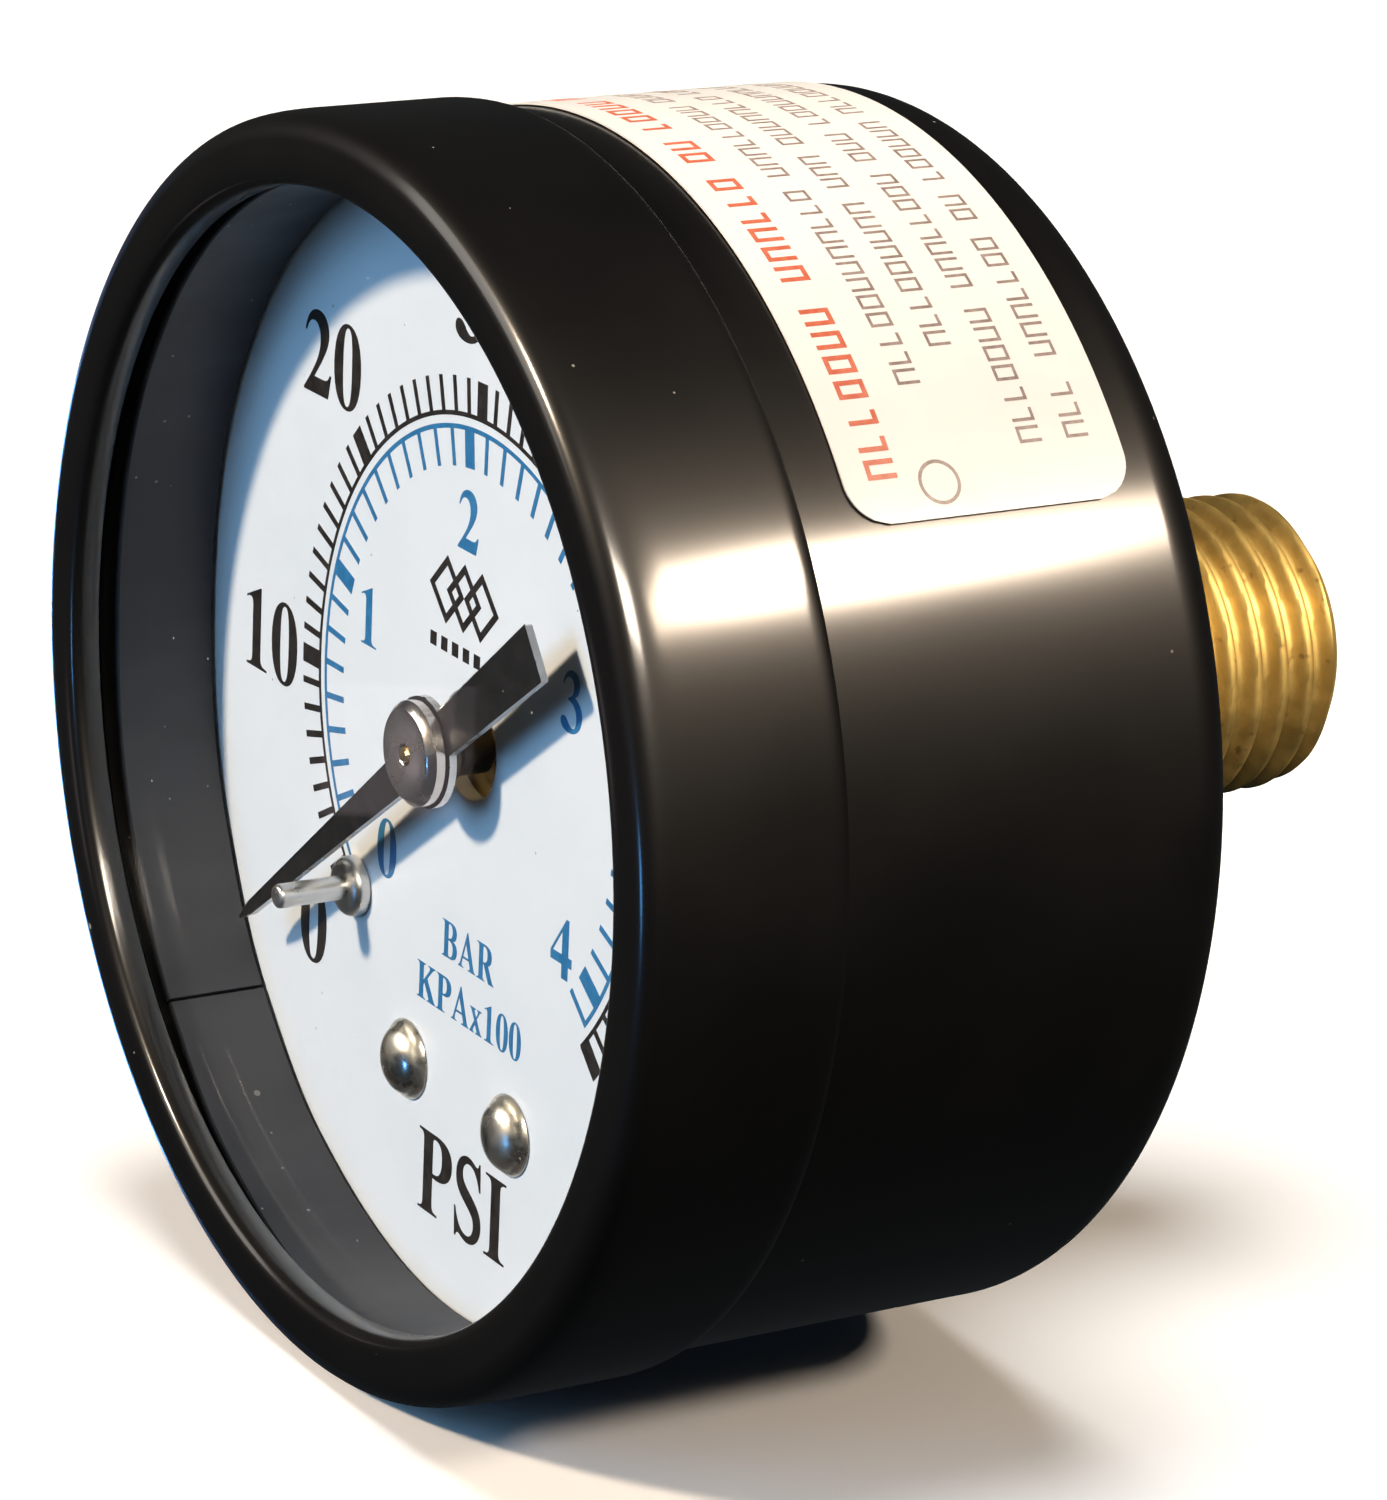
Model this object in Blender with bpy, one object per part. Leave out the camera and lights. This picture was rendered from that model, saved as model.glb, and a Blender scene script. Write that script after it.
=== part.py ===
"""A back-connected 50 mm utility pressure gauge, built as its separate pieces.

The dial faces -Y, the threaded stem points along +Y and +Z is up on the dial.
The origin is on the pointer's axis at the free end of the stem.
Sizes below are in millimetres. A "depth" is a distance behind the front of the bezel.
Angles are in degrees in the plane of the dial, counterclockwise from +X as seen from the front.
"""

import math

import bmesh
import bpy
from mathutils import Vector

MM = 0.001
OVERALL_DEPTH = 47.9  # front of the bezel to the free end of the stem
AIR = 0.15  # gap between fixed pieces that touch
RUNNING = 0.05  # radial clearance of a turning fit
FINE, MEDIUM, COARSE = 72, 24, 12  # sides on large, middling and small round pieces

# Housing
BEZEL_RADIUS = 27.0
BEZEL_REAR = 9.2
BEZEL_SHEET = 0.45
OPENING_RADIUS = 23.95
LIP_REAR = 1.45
CASE_RADIUS = 26.4
CASE_SHEET = 0.7
CASE_FRONT = 2.3
CASE_REAR = 28.1
CASE_CORNER = 2.4
CASE_HOLE_RADIUS = 8.5
CASE_SCREW_OFFSET = 11.2
WINDOW_FRONT, WINDOW_REAR = 1.55, 2.15
SPACER_FRONT, SPACER_REAR = 2.25, 6.95
SPACER_INNER, SPACER_OUTER = 24.4, 25.4
SPACER_JOINT = -137.0
SPACER_JOINT_GAP = 0.4  # degrees

# Dial
DIAL_FRONT, DIAL_REAR = 7.1, 7.9
DIAL_RADIUS = 25.55
DIAL_HOLE_RADIUS = 2.35
DIAL_SCREWS = {"dial_screw_left": (-4.44, -15.53), "dial_screw_right": (4.61, -15.82)}
DIAL_SCREW_RADIUS = 1.8
STOP_PIN = (-9.54, -9.22)
STOP_PIN_RADIUS = 0.54
STOP_PIN_FRONT = 3.1

# Pointer
POINTER_ANGLE = 217.5  # at rest, against the stop pin
POINTER_FRONT, POINTER_REAR = 4.95, 5.25
POINTER_TIP, POINTER_TAIL = 20.8, 11.3
ARBOR_BORE = 0.45

# Movement
PLATE_FRONT, PLATE_REAR = 8.1, 9.3
BACK_PLATE_FRONT, BACK_PLATE_REAR = 15.0, 16.2
PILLARS = {
    "pillar_top_left": (-7.5, 7.0),
    "pillar_top_right": (7.5, 7.0),
    "pillar_bottom": (-8.5, -12.0),
}
MOVEMENT_SCREWS = {"movement_screw_top": (3.9, 7.2), "movement_screw_side": (-6.6, -6.5)}
MODULE = 0.3
PINION_TEETH, SECTOR_TEETH = 10, 70
PINION_FRONT, PINION_REAR = 10.8, 12.6
SECTOR_FRONT, SECTOR_REAR = 11.2, 12.0
SECTOR_SPAN = (43.0, 98.0)  # the toothed stretch, as angles about the sector's pivot
SECTOR_PIVOT = (0.0, -MODULE * (PINION_TEETH + SECTOR_TEETH) / 2)
SECTOR_HUB = 2.0
TAIL_LENGTH, TAIL_ANGLE = 3.5, -73.0
LINK_FRONT, LINK_REAR = 10.0, 10.6
SPRING_FRONT, SPRING_REAR = 13.2, 13.9
SPRING_INNER, SPRING_OUTER, SPRING_TURNS = 1.6, 5.0, 4.25
SPRING_STRIP = 0.16
STUD_RADIUS = 0.5

# Bourdon tube
TUBE_RADIUS = 18.5
TUBE_THICK, TUBE_WIDE, TUBE_WALL = 2.0, 6.4, 0.35
TUBE_MIDDLE = 13.0
TUBE_ROOT, TUBE_END = -114.0, -22.0  # the root lies one turn further round
TIP_LENGTH, TIP_THICK = 3.5, 3.0
TIP_TURNS_ABOUT = (-9.0, 10.0)

# Socket
SOCKET_FRONT, SOCKET_REAR = 16.5, 27.2
SOCKET_RADIUS = 13.0
FOOT = (-10.0, -2.2, -20.0, -13.7)  # lowest and highest x, then z
FOOT_FRONT = 9.7
HEX_FLATS = 14.3
HEX_FRONT, HEX_REAR = 28.4, 33.8
NECK_RADIUS = 8.2  # passes through the case's hole, in front of the wrench flats
THREAD_SMALL_RADIUS = 6.6  # 1/4 inch taper pipe thread, over the crests at the free end
THREAD_TAPER = 1 / 32
BORE_RADIUS = 1.9
PASSAGE_RADIUS = 0.8
RESTRICTOR_FRONT, RESTRICTOR_REAR = 42.0, 46.0

# Label on top of the case
LABEL_SPAN = (34.0, 146.0)
LABEL_FRONT, LABEL_REAR = 11.6, 24.7
LABEL_CORNER = 1.8
LABEL_THICK = 0.08


# ---- Small helpers -------------------------------------------------------------------------


def place(x, depth, z):
    """A point in metres from millimetres across, behind the bezel's front, and up."""
    return (x * MM, (depth - OVERALL_DEPTH) * MM, z * MM)


def polar(radius, degrees, centre=(0.0, 0.0)):
    angle = math.radians(degrees)
    return (centre[0] + radius * math.cos(angle), centre[1] + radius * math.sin(angle))


def arc(radius, start, end, steps, centre=(0.0, 0.0)):
    """Points along an arc from one angle to the other, both ends included."""
    return [polar(radius, start + (end - start) * i / steps, centre) for i in range(steps + 1)]


def circle(radius, centre, steps=MEDIUM):
    """Corners of a regular outline, with the middle of a side, not a corner, facing +X."""
    half_side = 180.0 / steps
    return arc(radius, half_side, 360.0 - half_side, steps - 1, centre)


def hull(points):
    """The convex outline round some points, counterclockwise."""
    ordered = sorted(points)

    def half(sequence):
        chain = []
        for point in sequence:
            while len(chain) > 1 and turn(chain[-2], chain[-1], point) <= 1e-9:
                chain.pop()
            chain.append(point)
        return chain[:-1]

    return half(ordered) + half(ordered[::-1])


def turn(a, b, c):
    return (b[0] - a[0]) * (c[1] - a[1]) - (b[1] - a[1]) * (c[0] - a[0])


def rounded_hull(*discs):
    """The outline of a plate that wraps round discs given as (x, z, radius)."""
    return hull([point for x, z, radius in discs for point in circle(radius, (x, z))])


def bar_with_eyes(first, first_radius, second, second_radius, half_width):
    """The outline of a straight bar with a round eye at each end."""
    heading = math.degrees(math.atan2(second[1] - first[1], second[0] - first[0]))
    outline = []
    for centre, radius, facing in (
        (first, first_radius, heading),
        (second, second_radius, heading + 180.0),
    ):
        neck = math.degrees(math.asin(half_width / radius))
        outline += arc(radius, facing + neck, facing + 360.0 - neck, 12, centre)
    return outline


TAIL_PIN = polar(TAIL_LENGTH, TAIL_ANGLE, SECTOR_PIVOT)
TUBE_TIP_START = polar(TUBE_RADIUS, TUBE_END)
INWARD = polar(-1.0, TUBE_END)
ONWARD = polar(1.0, TUBE_END - 90.0)


def from_tube_end(onward, inward):
    """A point measured from the end of the tube, along it and towards the middle."""
    return (
        TUBE_TIP_START[0] + ONWARD[0] * onward + INWARD[0] * inward,
        TUBE_TIP_START[1] + ONWARD[1] * onward + INWARD[1] * inward,
    )


TIP_PIN = from_tube_end(2.0, 3.5)


# ---- Materials -----------------------------------------------------------------------------

MATERIALS = {
    "black_paint": ((0.012, 0.012, 0.014), 0.2, 0.0),
    "window_clear": ((0.9, 0.93, 0.95), 0.05, 0.0),
    "spacer_grey": ((0.03, 0.032, 0.035), 0.5, 0.0),
    "dial_white": ((0.82, 0.84, 0.86), 0.4, 0.0),
    "nickel": ((0.72, 0.7, 0.67), 0.18, 1.0),
    "pointer_black": ((0.02, 0.02, 0.023), 0.4, 0.0),
    "brass": ((0.75, 0.55, 0.24), 0.3, 1.0),
    "bronze": ((0.65, 0.42, 0.24), 0.35, 1.0),
    "spring_bronze": ((0.7, 0.5, 0.3), 0.25, 1.0),
    "screw_steel": ((0.55, 0.55, 0.54), 0.3, 1.0),
    "label_white": ((0.85, 0.84, 0.8), 0.5, 0.0),
}


def material(name):
    """The named Principled material, made the first time it is asked for."""
    found = bpy.data.materials.get(name)
    if found:
        return found
    colour, roughness, metallic = MATERIALS[name]
    made = bpy.data.materials.new(name)
    made.use_nodes = True
    shader = made.node_tree.nodes["Principled BSDF"]
    shader.inputs["Base Color"].default_value = (*colour, 1.0)
    shader.inputs["Roughness"].default_value = roughness
    shader.inputs["Metallic"].default_value = metallic
    if name == "window_clear":
        shader.inputs["Transmission Weight"].default_value = 1.0
    made.diffuse_color = (*colour, 1.0)
    return made


# ---- Solids --------------------------------------------------------------------------------


def bridge(mesh, ring, following):
    """Faces between two rings of vertices, either of which may be a single point."""
    count = max(len(ring), len(following))
    if count == 1:
        return
    for i in range(count):
        j = (i + 1) % count
        corners = [ring[i % len(ring)], ring[j % len(ring)]]
        corners += [following[j % len(following)], following[i % len(following)]]
        unique = list(dict.fromkeys(corners))
        mesh.faces.new(unique)


def turned(profile, steps=MEDIUM, centre=(0.0, 0.0)):
    """A solid turned about a line along Y. The profile is a closed loop of (radius, depth)."""
    mesh = bmesh.new()
    rings = []
    for radius, depth in profile:
        around = circle(radius, centre, steps) if radius > 0 else [centre]
        rings.append([mesh.verts.new(place(x, depth, z)) for x, z in around])
    for ring, following in zip(rings, rings[1:] + rings[:1]):
        bridge(mesh, ring, following)
    return mesh


def rod(radius, front, back, centre=(0.0, 0.0), steps=COARSE):
    return turned([(0, front), (radius, front), (radius, back), (0, back)], steps, centre)


def tube(outer, inner, front, back, centre=(0.0, 0.0), steps=MEDIUM):
    profile = [(inner, front), (outer, front), (outer, back), (inner, back)]
    return turned(profile, steps, centre)


def plate(outline, front, back):
    """A flat piece with the given outline of (x, z) points."""
    mesh = bmesh.new()
    face = mesh.faces.new([mesh.verts.new(place(x, front, z)) for x, z in outline])
    grown = bmesh.ops.extrude_face_region(mesh, geom=[face])
    verts = [item for item in grown["geom"] if isinstance(item, bmesh.types.BMVert)]
    bmesh.ops.translate(mesh, verts=verts, vec=(0.0, (back - front) * MM, 0.0))
    return mesh


def drill(start, end, radius, steps=COARSE):
    """A cylinder between two points in metres, for cutting a passage."""
    mesh = bmesh.new()
    axis = [b - a for a, b in zip(start, end)]
    length = math.sqrt(sum(c * c for c in axis))
    bmesh.ops.create_cone(
        mesh, cap_ends=True, segments=steps, radius1=radius * MM, radius2=radius * MM, depth=length
    )
    direction = Vector(axis).to_track_quat("Z", "Y").to_matrix().to_4x4()
    middle = Vector([(a + b) / 2 for a, b in zip(start, end)])
    bmesh.ops.transform(mesh, matrix=direction, verts=mesh.verts)
    bmesh.ops.translate(mesh, verts=mesh.verts, vec=middle)
    return mesh


def add(name, mesh, material_name, axis=None, sharp=35.0):
    """Link a solid to the scene as one object, under its joint's empty if it has one."""
    bmesh.ops.recalc_face_normals(mesh, faces=mesh.faces)
    data = bpy.data.meshes.new(name)
    mesh.to_mesh(data)
    mesh.free()
    data.shade_smooth()
    data.set_sharp_from_angle(angle=math.radians(sharp))
    data.materials.append(material(material_name))
    made = bpy.data.objects.new(name, data)
    bpy.context.scene.collection.objects.link(made)
    if axis:
        data.transform(axis.matrix_world.inverted())
        made.parent = axis
    return made


def combine(target, other, operation):
    """Boolean another solid into or out of the target. The other one becomes a hidden guide."""
    other.hide_render = True
    other.display_type = "WIRE"
    step = target.modifiers.new(other.name, "BOOLEAN")
    step.operation = operation
    step.solver = "EXACT"
    step.object = other


def cut(target, mesh):
    combine(target, add(target.name + "_cutter", mesh, "nickel", target.parent), "DIFFERENCE")


def join(target, mesh):
    combine(target, add(target.name + "_lump", mesh, "nickel", target.parent), "UNION")


def joint_axis(name, centre, depth):
    """An empty on a joint's axis, which runs along Y."""
    made = bpy.data.objects.new(name, None)
    made.empty_display_size = 0.004
    made.location = place(centre[0], depth, centre[1])
    bpy.context.scene.collection.objects.link(made)
    bpy.context.view_layer.update()
    return made


# ---- Housing -------------------------------------------------------------------------------


def corner_arc(centre_radius, centre_depth, radius, start, end, steps):
    """Profile points round a corner. 0 degrees faces outward and 90 degrees faces the rear."""
    points = arc(radius, start, end, steps)
    return [(centre_radius + across, centre_depth + back) for across, back in points]


def make_bezel():
    """A pressed ring: a skirt over the case, a rolled front edge and a lip over the window."""
    roll = 1.3
    inner_roll = roll - BEZEL_SHEET
    middle = BEZEL_RADIUS - roll
    outside = corner_arc(middle, roll, roll, 0, -90, 5)
    outside += [(OPENING_RADIUS + 0.3, 0.0), (OPENING_RADIUS, 0.25), (OPENING_RADIUS, LIP_REAR)]
    inner_wall = OPENING_RADIUS + BEZEL_SHEET
    inside = [(inner_wall, LIP_REAR), (inner_wall, BEZEL_SHEET + 0.15), (inner_wall + 0.2, BEZEL_SHEET)]
    inside += corner_arc(middle, roll, inner_roll, -90, 0, 3)
    skirt = [
        (BEZEL_RADIUS - BEZEL_SHEET, BEZEL_REAR - 0.2),
        (BEZEL_RADIUS - BEZEL_SHEET + 0.12, BEZEL_REAR),
        (BEZEL_RADIUS - 0.12, BEZEL_REAR),
        (BEZEL_RADIUS, BEZEL_REAR - 0.2),
    ]
    add("bezel_ring", turned(outside + inside + skirt, FINE), "black_paint")


def make_case():
    """A drawn cup, open at the front, with a rounded rear corner and a hole for the socket."""
    middle = CASE_RADIUS - CASE_CORNER
    depth = CASE_REAR - CASE_CORNER
    outside = [(CASE_RADIUS, CASE_FRONT)] + corner_arc(middle, depth, CASE_CORNER, 0, 90, 5)
    outside += [(CASE_HOLE_RADIUS, CASE_REAR)]
    inside = [(CASE_HOLE_RADIUS, CASE_REAR - CASE_SHEET)]
    inside += corner_arc(middle, depth, CASE_CORNER - CASE_SHEET, 90, 0, 3)
    inside += [(CASE_RADIUS - CASE_SHEET, CASE_FRONT)]
    case = add("case", turned(outside + inside, FINE), "black_paint")
    for side in (-1, 1):
        centre = (side * CASE_SCREW_OFFSET, 0.0)
        cut(case, rod(1.4, CASE_REAR - 2, CASE_REAR + 2, centre))


def make_case_screws():
    for name, side in (("case_screw_left", -1), ("case_screw_right", 1)):
        centre = (side * CASE_SCREW_OFFSET, 0.0)
        head = CASE_REAR + AIR
        profile = [(0, 22.0), (1.15, 22.0), (1.15, head), (1.9, head), (1.9, head + 0.7)]
        profile += [(1.5, head + 1.15), (0, head + 1.3)]
        screw = add(name, turned(profile, MEDIUM, centre), "screw_steel")
        slot = [(-2.2, -0.25), (2.2, -0.25), (2.2, 0.25), (-2.2, 0.25)]
        slot = [(centre[0] + x, z) for x, z in slot]
        cut(screw, plate(slot, head + 0.7, head + 2))


def make_window():
    radius = BEZEL_RADIUS - BEZEL_SHEET - AIR
    add("window", rod(radius, WINDOW_FRONT, WINDOW_REAR, steps=FINE), "window_clear")


def make_spacer():
    """A strip bent into a ring, with a butt joint, that holds the dial and the window apart."""
    start = SPACER_JOINT + SPACER_JOINT_GAP / 2
    end = SPACER_JOINT + 360 - SPACER_JOINT_GAP / 2
    outline = arc(SPACER_OUTER, start, end, FINE) + arc(SPACER_INNER, end, start, FINE)
    add("spacer_ring", plate(outline, SPACER_FRONT, SPACER_REAR), "spacer_grey")


def make_label():
    """A thin sheet wrapped over the top of the case, with rounded corners."""
    radius = CASE_RADIUS + 0.06
    per_degree = radius * math.pi / 180
    corner = LABEL_CORNER / per_degree
    columns = [i / 4 for i in range(5)]
    angles = [LABEL_SPAN[0] + corner * (1 - math.cos(c * math.pi / 2)) for c in columns]
    steps = 18
    first, last = angles[-1], LABEL_SPAN[1] - corner
    angles += [first + (last - first) * i / steps for i in range(1, steps)]
    angles += [LABEL_SPAN[0] + LABEL_SPAN[1] - a for a in angles[4::-1]]
    mesh = bmesh.new()
    rows = []
    for angle in angles:
        from_end = min(angle - LABEL_SPAN[0], LABEL_SPAN[1] - angle) * per_degree
        missing = max(LABEL_CORNER - from_end, 0.0)
        inset = LABEL_CORNER - math.sqrt(max(LABEL_CORNER**2 - missing**2, 0.0))
        front, back = LABEL_FRONT + inset, LABEL_REAR - inset
        row = []
        for r, depth in ((radius, front), (radius + LABEL_THICK, front),
                         (radius + LABEL_THICK, back), (radius, back)):
            x, z = polar(r, angle)
            row.append(mesh.verts.new(place(x, depth, z)))
        rows.append(row)
    for row, following in zip(rows, rows[1:]):
        for i in range(4):
            j = (i + 1) % 4
            mesh.faces.new([row[i], row[j], following[j], following[i]])
    mesh.faces.new(rows[0])
    mesh.faces.new(rows[-1])
    add("label", mesh, "label_white")


# ---- Dial ----------------------------------------------------------------------------------


def make_dial():
    dial = add("dial", tube(DIAL_RADIUS, DIAL_HOLE_RADIUS, DIAL_FRONT, DIAL_REAR, steps=FINE),
               "dial_white")
    for centre in DIAL_SCREWS.values():
        cut(dial, rod(1.2, DIAL_FRONT - 1, DIAL_REAR + 1, centre))
    cut(dial, rod(STOP_PIN_RADIUS + 0.2, DIAL_FRONT - 1, DIAL_REAR + 1, STOP_PIN))


def make_dial_screws():
    """Domed screws through the dial into the front plate."""
    base = DIAL_FRONT - RUNNING
    for name, centre in DIAL_SCREWS.items():
        profile = [(0, base - 1.0), (0.8, base - 0.88), (1.3, base - 0.6), (1.55, base - 0.3)]
        profile += [(DIAL_SCREW_RADIUS, base - 0.05), (DIAL_SCREW_RADIUS, base), (0.95, base)]
        profile += [(0.95, PLATE_REAR - 0.1), (0, PLATE_REAR - 0.1)]
        add(name, turned(profile, MEDIUM, centre), "nickel")


def make_stop_pin():
    """A pin with a bevelled collar, riveted through the dial, that the pointer stops just short of."""
    r, base = STOP_PIN_RADIUS, DIAL_FRONT - RUNNING
    profile = [(0, STOP_PIN_FRONT), (r - 0.12, STOP_PIN_FRONT + 0.02), (r, STOP_PIN_FRONT + 0.15)]
    profile += [(r, base - 0.75), (1.0, base - 0.75), (1.35, base - 0.4), (1.35, base)]
    profile += [(r, base), (r, DIAL_REAR), (0, DIAL_REAR)]
    add("stop_pin", turned(profile, MEDIUM, STOP_PIN), "nickel")


# ---- Pointer and its arbor -----------------------------------------------------------------


def make_pointer(axis):
    """A stamped blade with a long tapered tip, a round boss and a flared square tail."""
    half_widths = [(POINTER_TIP, 0.05), (19.6, 0.3), (9.3, 0.63), (3.0, 0.84)]
    tail = [(-2.4, 1.0), (-POINTER_TAIL, 1.26)]
    upper = [(along, across) for along, across in half_widths + tail]
    lower = [(along, -across) for along, across in reversed(upper)]
    angle = math.radians(POINTER_ANGLE)
    outline = [
        (u * math.cos(angle) - v * math.sin(angle), u * math.sin(angle) + v * math.cos(angle))
        for u, v in upper + lower
    ]
    blade = add("pointer", plate(outline, POINTER_FRONT, POINTER_REAR), "pointer_black", axis)
    join(blade, rod(2.38, POINTER_FRONT, POINTER_REAR, steps=MEDIUM))
    cut(blade, rod(ARBOR_BORE, POINTER_FRONT - 1, POINTER_REAR + 1))


def make_pointer_knob(axis):
    """The polished cap that is pressed on the arbor in front of the pointer."""
    front, back = 4.05, POINTER_FRONT - RUNNING
    profile = [(ARBOR_BORE, front), (1.85, front), (1.98, front + 0.05), (2.25, front + 0.32)]
    profile += [(2.25, back - 0.12), (2.18, back), (ARBOR_BORE, back)]
    add("pointer_knob", turned(profile, MEDIUM), "nickel", axis)


def make_pointer_bush(axis):
    front, back = POINTER_REAR + RUNNING, 7.7
    profile = [(ARBOR_BORE, front), (1.5, front), (1.5, 6.0), (1.2, 6.3), (1.2, back)]
    profile += [(ARBOR_BORE, back)]
    add("pointer_bush", turned(profile, MEDIUM), "brass", axis)


def gear_tooth(teeth, outward=1.0, module=MODULE):
    """One tooth as (radius, angle in radians from its middle), from one root to the other.

    The flanks are involutes of a 20 degree gear with a little backlash."""
    pressure = math.radians(20.0)
    pitch = module * teeth / 2
    base = pitch * math.cos(pressure)
    root, tip = pitch - 1.25 * module, pitch + outward * module
    backlash = 0.05 / pitch
    half = math.pi / (2 * teeth) - backlash / 2 + math.tan(pressure) - pressure
    flank = []
    start = max(root, base)
    steps = 3
    for i in range(steps + 1):
        radius = start + (tip - start) * i / steps
        roll = math.acos(min(base / radius, 1.0))
        flank.append((radius, half - (math.tan(roll) - roll)))
    if root < base:
        flank.insert(0, (root, flank[0][1]))
    return [(r, -a) for r, a in flank] + [(r, a) for r, a in reversed(flank)]


def toothed_arc(teeth, count, first_degrees, centre=(0.0, 0.0), outward=1.0):
    """The outline along a run of gear teeth, the first one centred on an angle."""
    pitch = 360.0 / teeth
    return [
        polar(radius, first_degrees + pitch * i + math.degrees(offset), centre)
        for i in range(count)
        for radius, offset in gear_tooth(teeth, outward)
    ]


def make_pinion_arbor(axis):
    """The shaft that carries the pointer, with its pinion cut on it."""
    gap_faces_sector = -90.0 + 180.0 / PINION_TEETH
    outline = toothed_arc(PINION_TEETH, PINION_TEETH, gap_faces_sector, outward=0.8)
    arbor = add("pinion_arbor", plate(outline, PINION_FRONT, PINION_REAR), "brass", axis)
    shaft = [(0, 3.92), (0.3, 3.95), (0.38, 4.2), (0.4, 7.8), (0.7, 7.9), (0.7, PINION_FRONT + 0.4)]
    shaft += [(0.7, PINION_REAR - 0.4), (0.6, PINION_REAR + 0.2), (0.6, 14.8), (0.5, 14.85)]
    shaft += [(0.5, 15.9), (0, 15.9)]
    join(arbor, turned(shaft, COARSE))


def spiral(radius_offset, steps):
    """Points along the hairspring, from its inner to its outer end."""
    points = []
    for i in range(steps + 1):
        along = i / steps
        radius = SPRING_INNER + (SPRING_OUTER - SPRING_INNER) * along + radius_offset
        points.append(polar(radius, 90.0 - 360.0 * SPRING_TURNS * (1 - along)))
    return points


def make_hairspring(axis):
    """The spiral that takes up the play in the gears, with its collet and its stud."""
    steps = round(18 * SPRING_TURNS)
    outline = spiral(SPRING_STRIP / 2, steps) + spiral(-SPRING_STRIP / 2, steps)[::-1]
    add("hairspring", plate(outline, SPRING_FRONT, SPRING_REAR), "spring_bronze")
    add("hairspring_collet", tube(1.35, 0.65, 13.0, 14.1), "brass", axis)
    stud = (0.0, SPRING_OUTER + SPRING_STRIP / 2 + STUD_RADIUS + RUNNING)
    add("hairspring_stud", rod(STUD_RADIUS, 13.0, BACK_PLATE_REAR - 0.2, stud), "brass")
    return stud


# ---- Movement ------------------------------------------------------------------------------


def make_plates(stud):
    pillars = list(PILLARS.values())
    discs = [(x, z, 2.0) for x, z in pillars] + [(x, z, 2.3) for x, z in DIAL_SCREWS.values()]
    front = add("front_plate", plate(rounded_hull(*discs), PLATE_FRONT, PLATE_REAR), "brass")
    discs = [(x, z, 2.0) for x, z in pillars[:2]]
    discs += [(x, -11.9, 1.4) for x in (pillars[2][0], 0.6)]
    outline = rounded_hull(*discs)
    back = add("back_plate", plate(outline, BACK_PLATE_FRONT, BACK_PLATE_REAR), "brass")
    for target, arbor in ((front, 0.7), (back, 0.5)):
        depths = (PLATE_FRONT - 1, BACK_PLATE_REAR + 1)
        cut(target, rod(arbor + RUNNING, *depths))
        cut(target, rod(0.5 + RUNNING, *depths, SECTOR_PIVOT))
    for centre in DIAL_SCREWS.values():
        cut(front, rod(0.95 + RUNNING, PLATE_FRONT - 1, PLATE_REAR + 1, centre))
    for centre in pillars:
        sink = [(0, PLATE_FRONT - 0.2), (1.45, PLATE_FRONT - 0.2), (0.65, PLATE_FRONT + 0.65)]
        cut(front, turned(sink + [(0.65, PLATE_REAR + 1), (0, PLATE_REAR + 1)], COARSE, centre))
        cut(back, rod(0.75, BACK_PLATE_FRONT - 1, BACK_PLATE_REAR + 1, centre))
    for centre in MOVEMENT_SCREWS.values():
        cut(back, rod(0.85, BACK_PLATE_FRONT - 1, BACK_PLATE_REAR + 1, centre))
    cut(back, rod(STUD_RADIUS + RUNNING, BACK_PLATE_FRONT - 1, BACK_PLATE_REAR + 1, stud))


def make_pillars():
    """Spacers between the plates, riveted into the back plate, and their flush front screws."""
    for name, centre in PILLARS.items():
        shoulder = BACK_PLATE_FRONT - AIR
        profile = [(0.65, PLATE_REAR + AIR), (1.3, PLATE_REAR + AIR), (1.3, shoulder)]
        profile += [(0.65, shoulder), (0.65, BACK_PLATE_REAR - 0.1), (0, BACK_PLATE_REAR - 0.1)]
        profile += [(0, 12.6), (0.65, 12.6)]
        add(name, turned(profile, COARSE, centre), "brass")
        head = PLATE_FRONT + 0.03
        screw = [(0, head), (1.1, head), (0.55, head + 0.6), (0.55, 12.4), (0, 12.4)]
        plain = name.replace("pillar", "plate_screw")
        add(plain, turned(screw, COARSE, centre), "screw_steel")


def make_movement_screws():
    """Two screws that hold the movement's back plate to the socket."""
    head = BACK_PLATE_FRONT - RUNNING
    for name, centre in MOVEMENT_SCREWS.items():
        profile = [(0, head - 0.75), (1.2, head - 0.75), (1.4, head - 0.55), (1.4, head)]
        profile += [(0.75, head), (0.75, 19.4), (0, 19.4)]
        add(name, turned(profile, COARSE, centre), "screw_steel")


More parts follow.
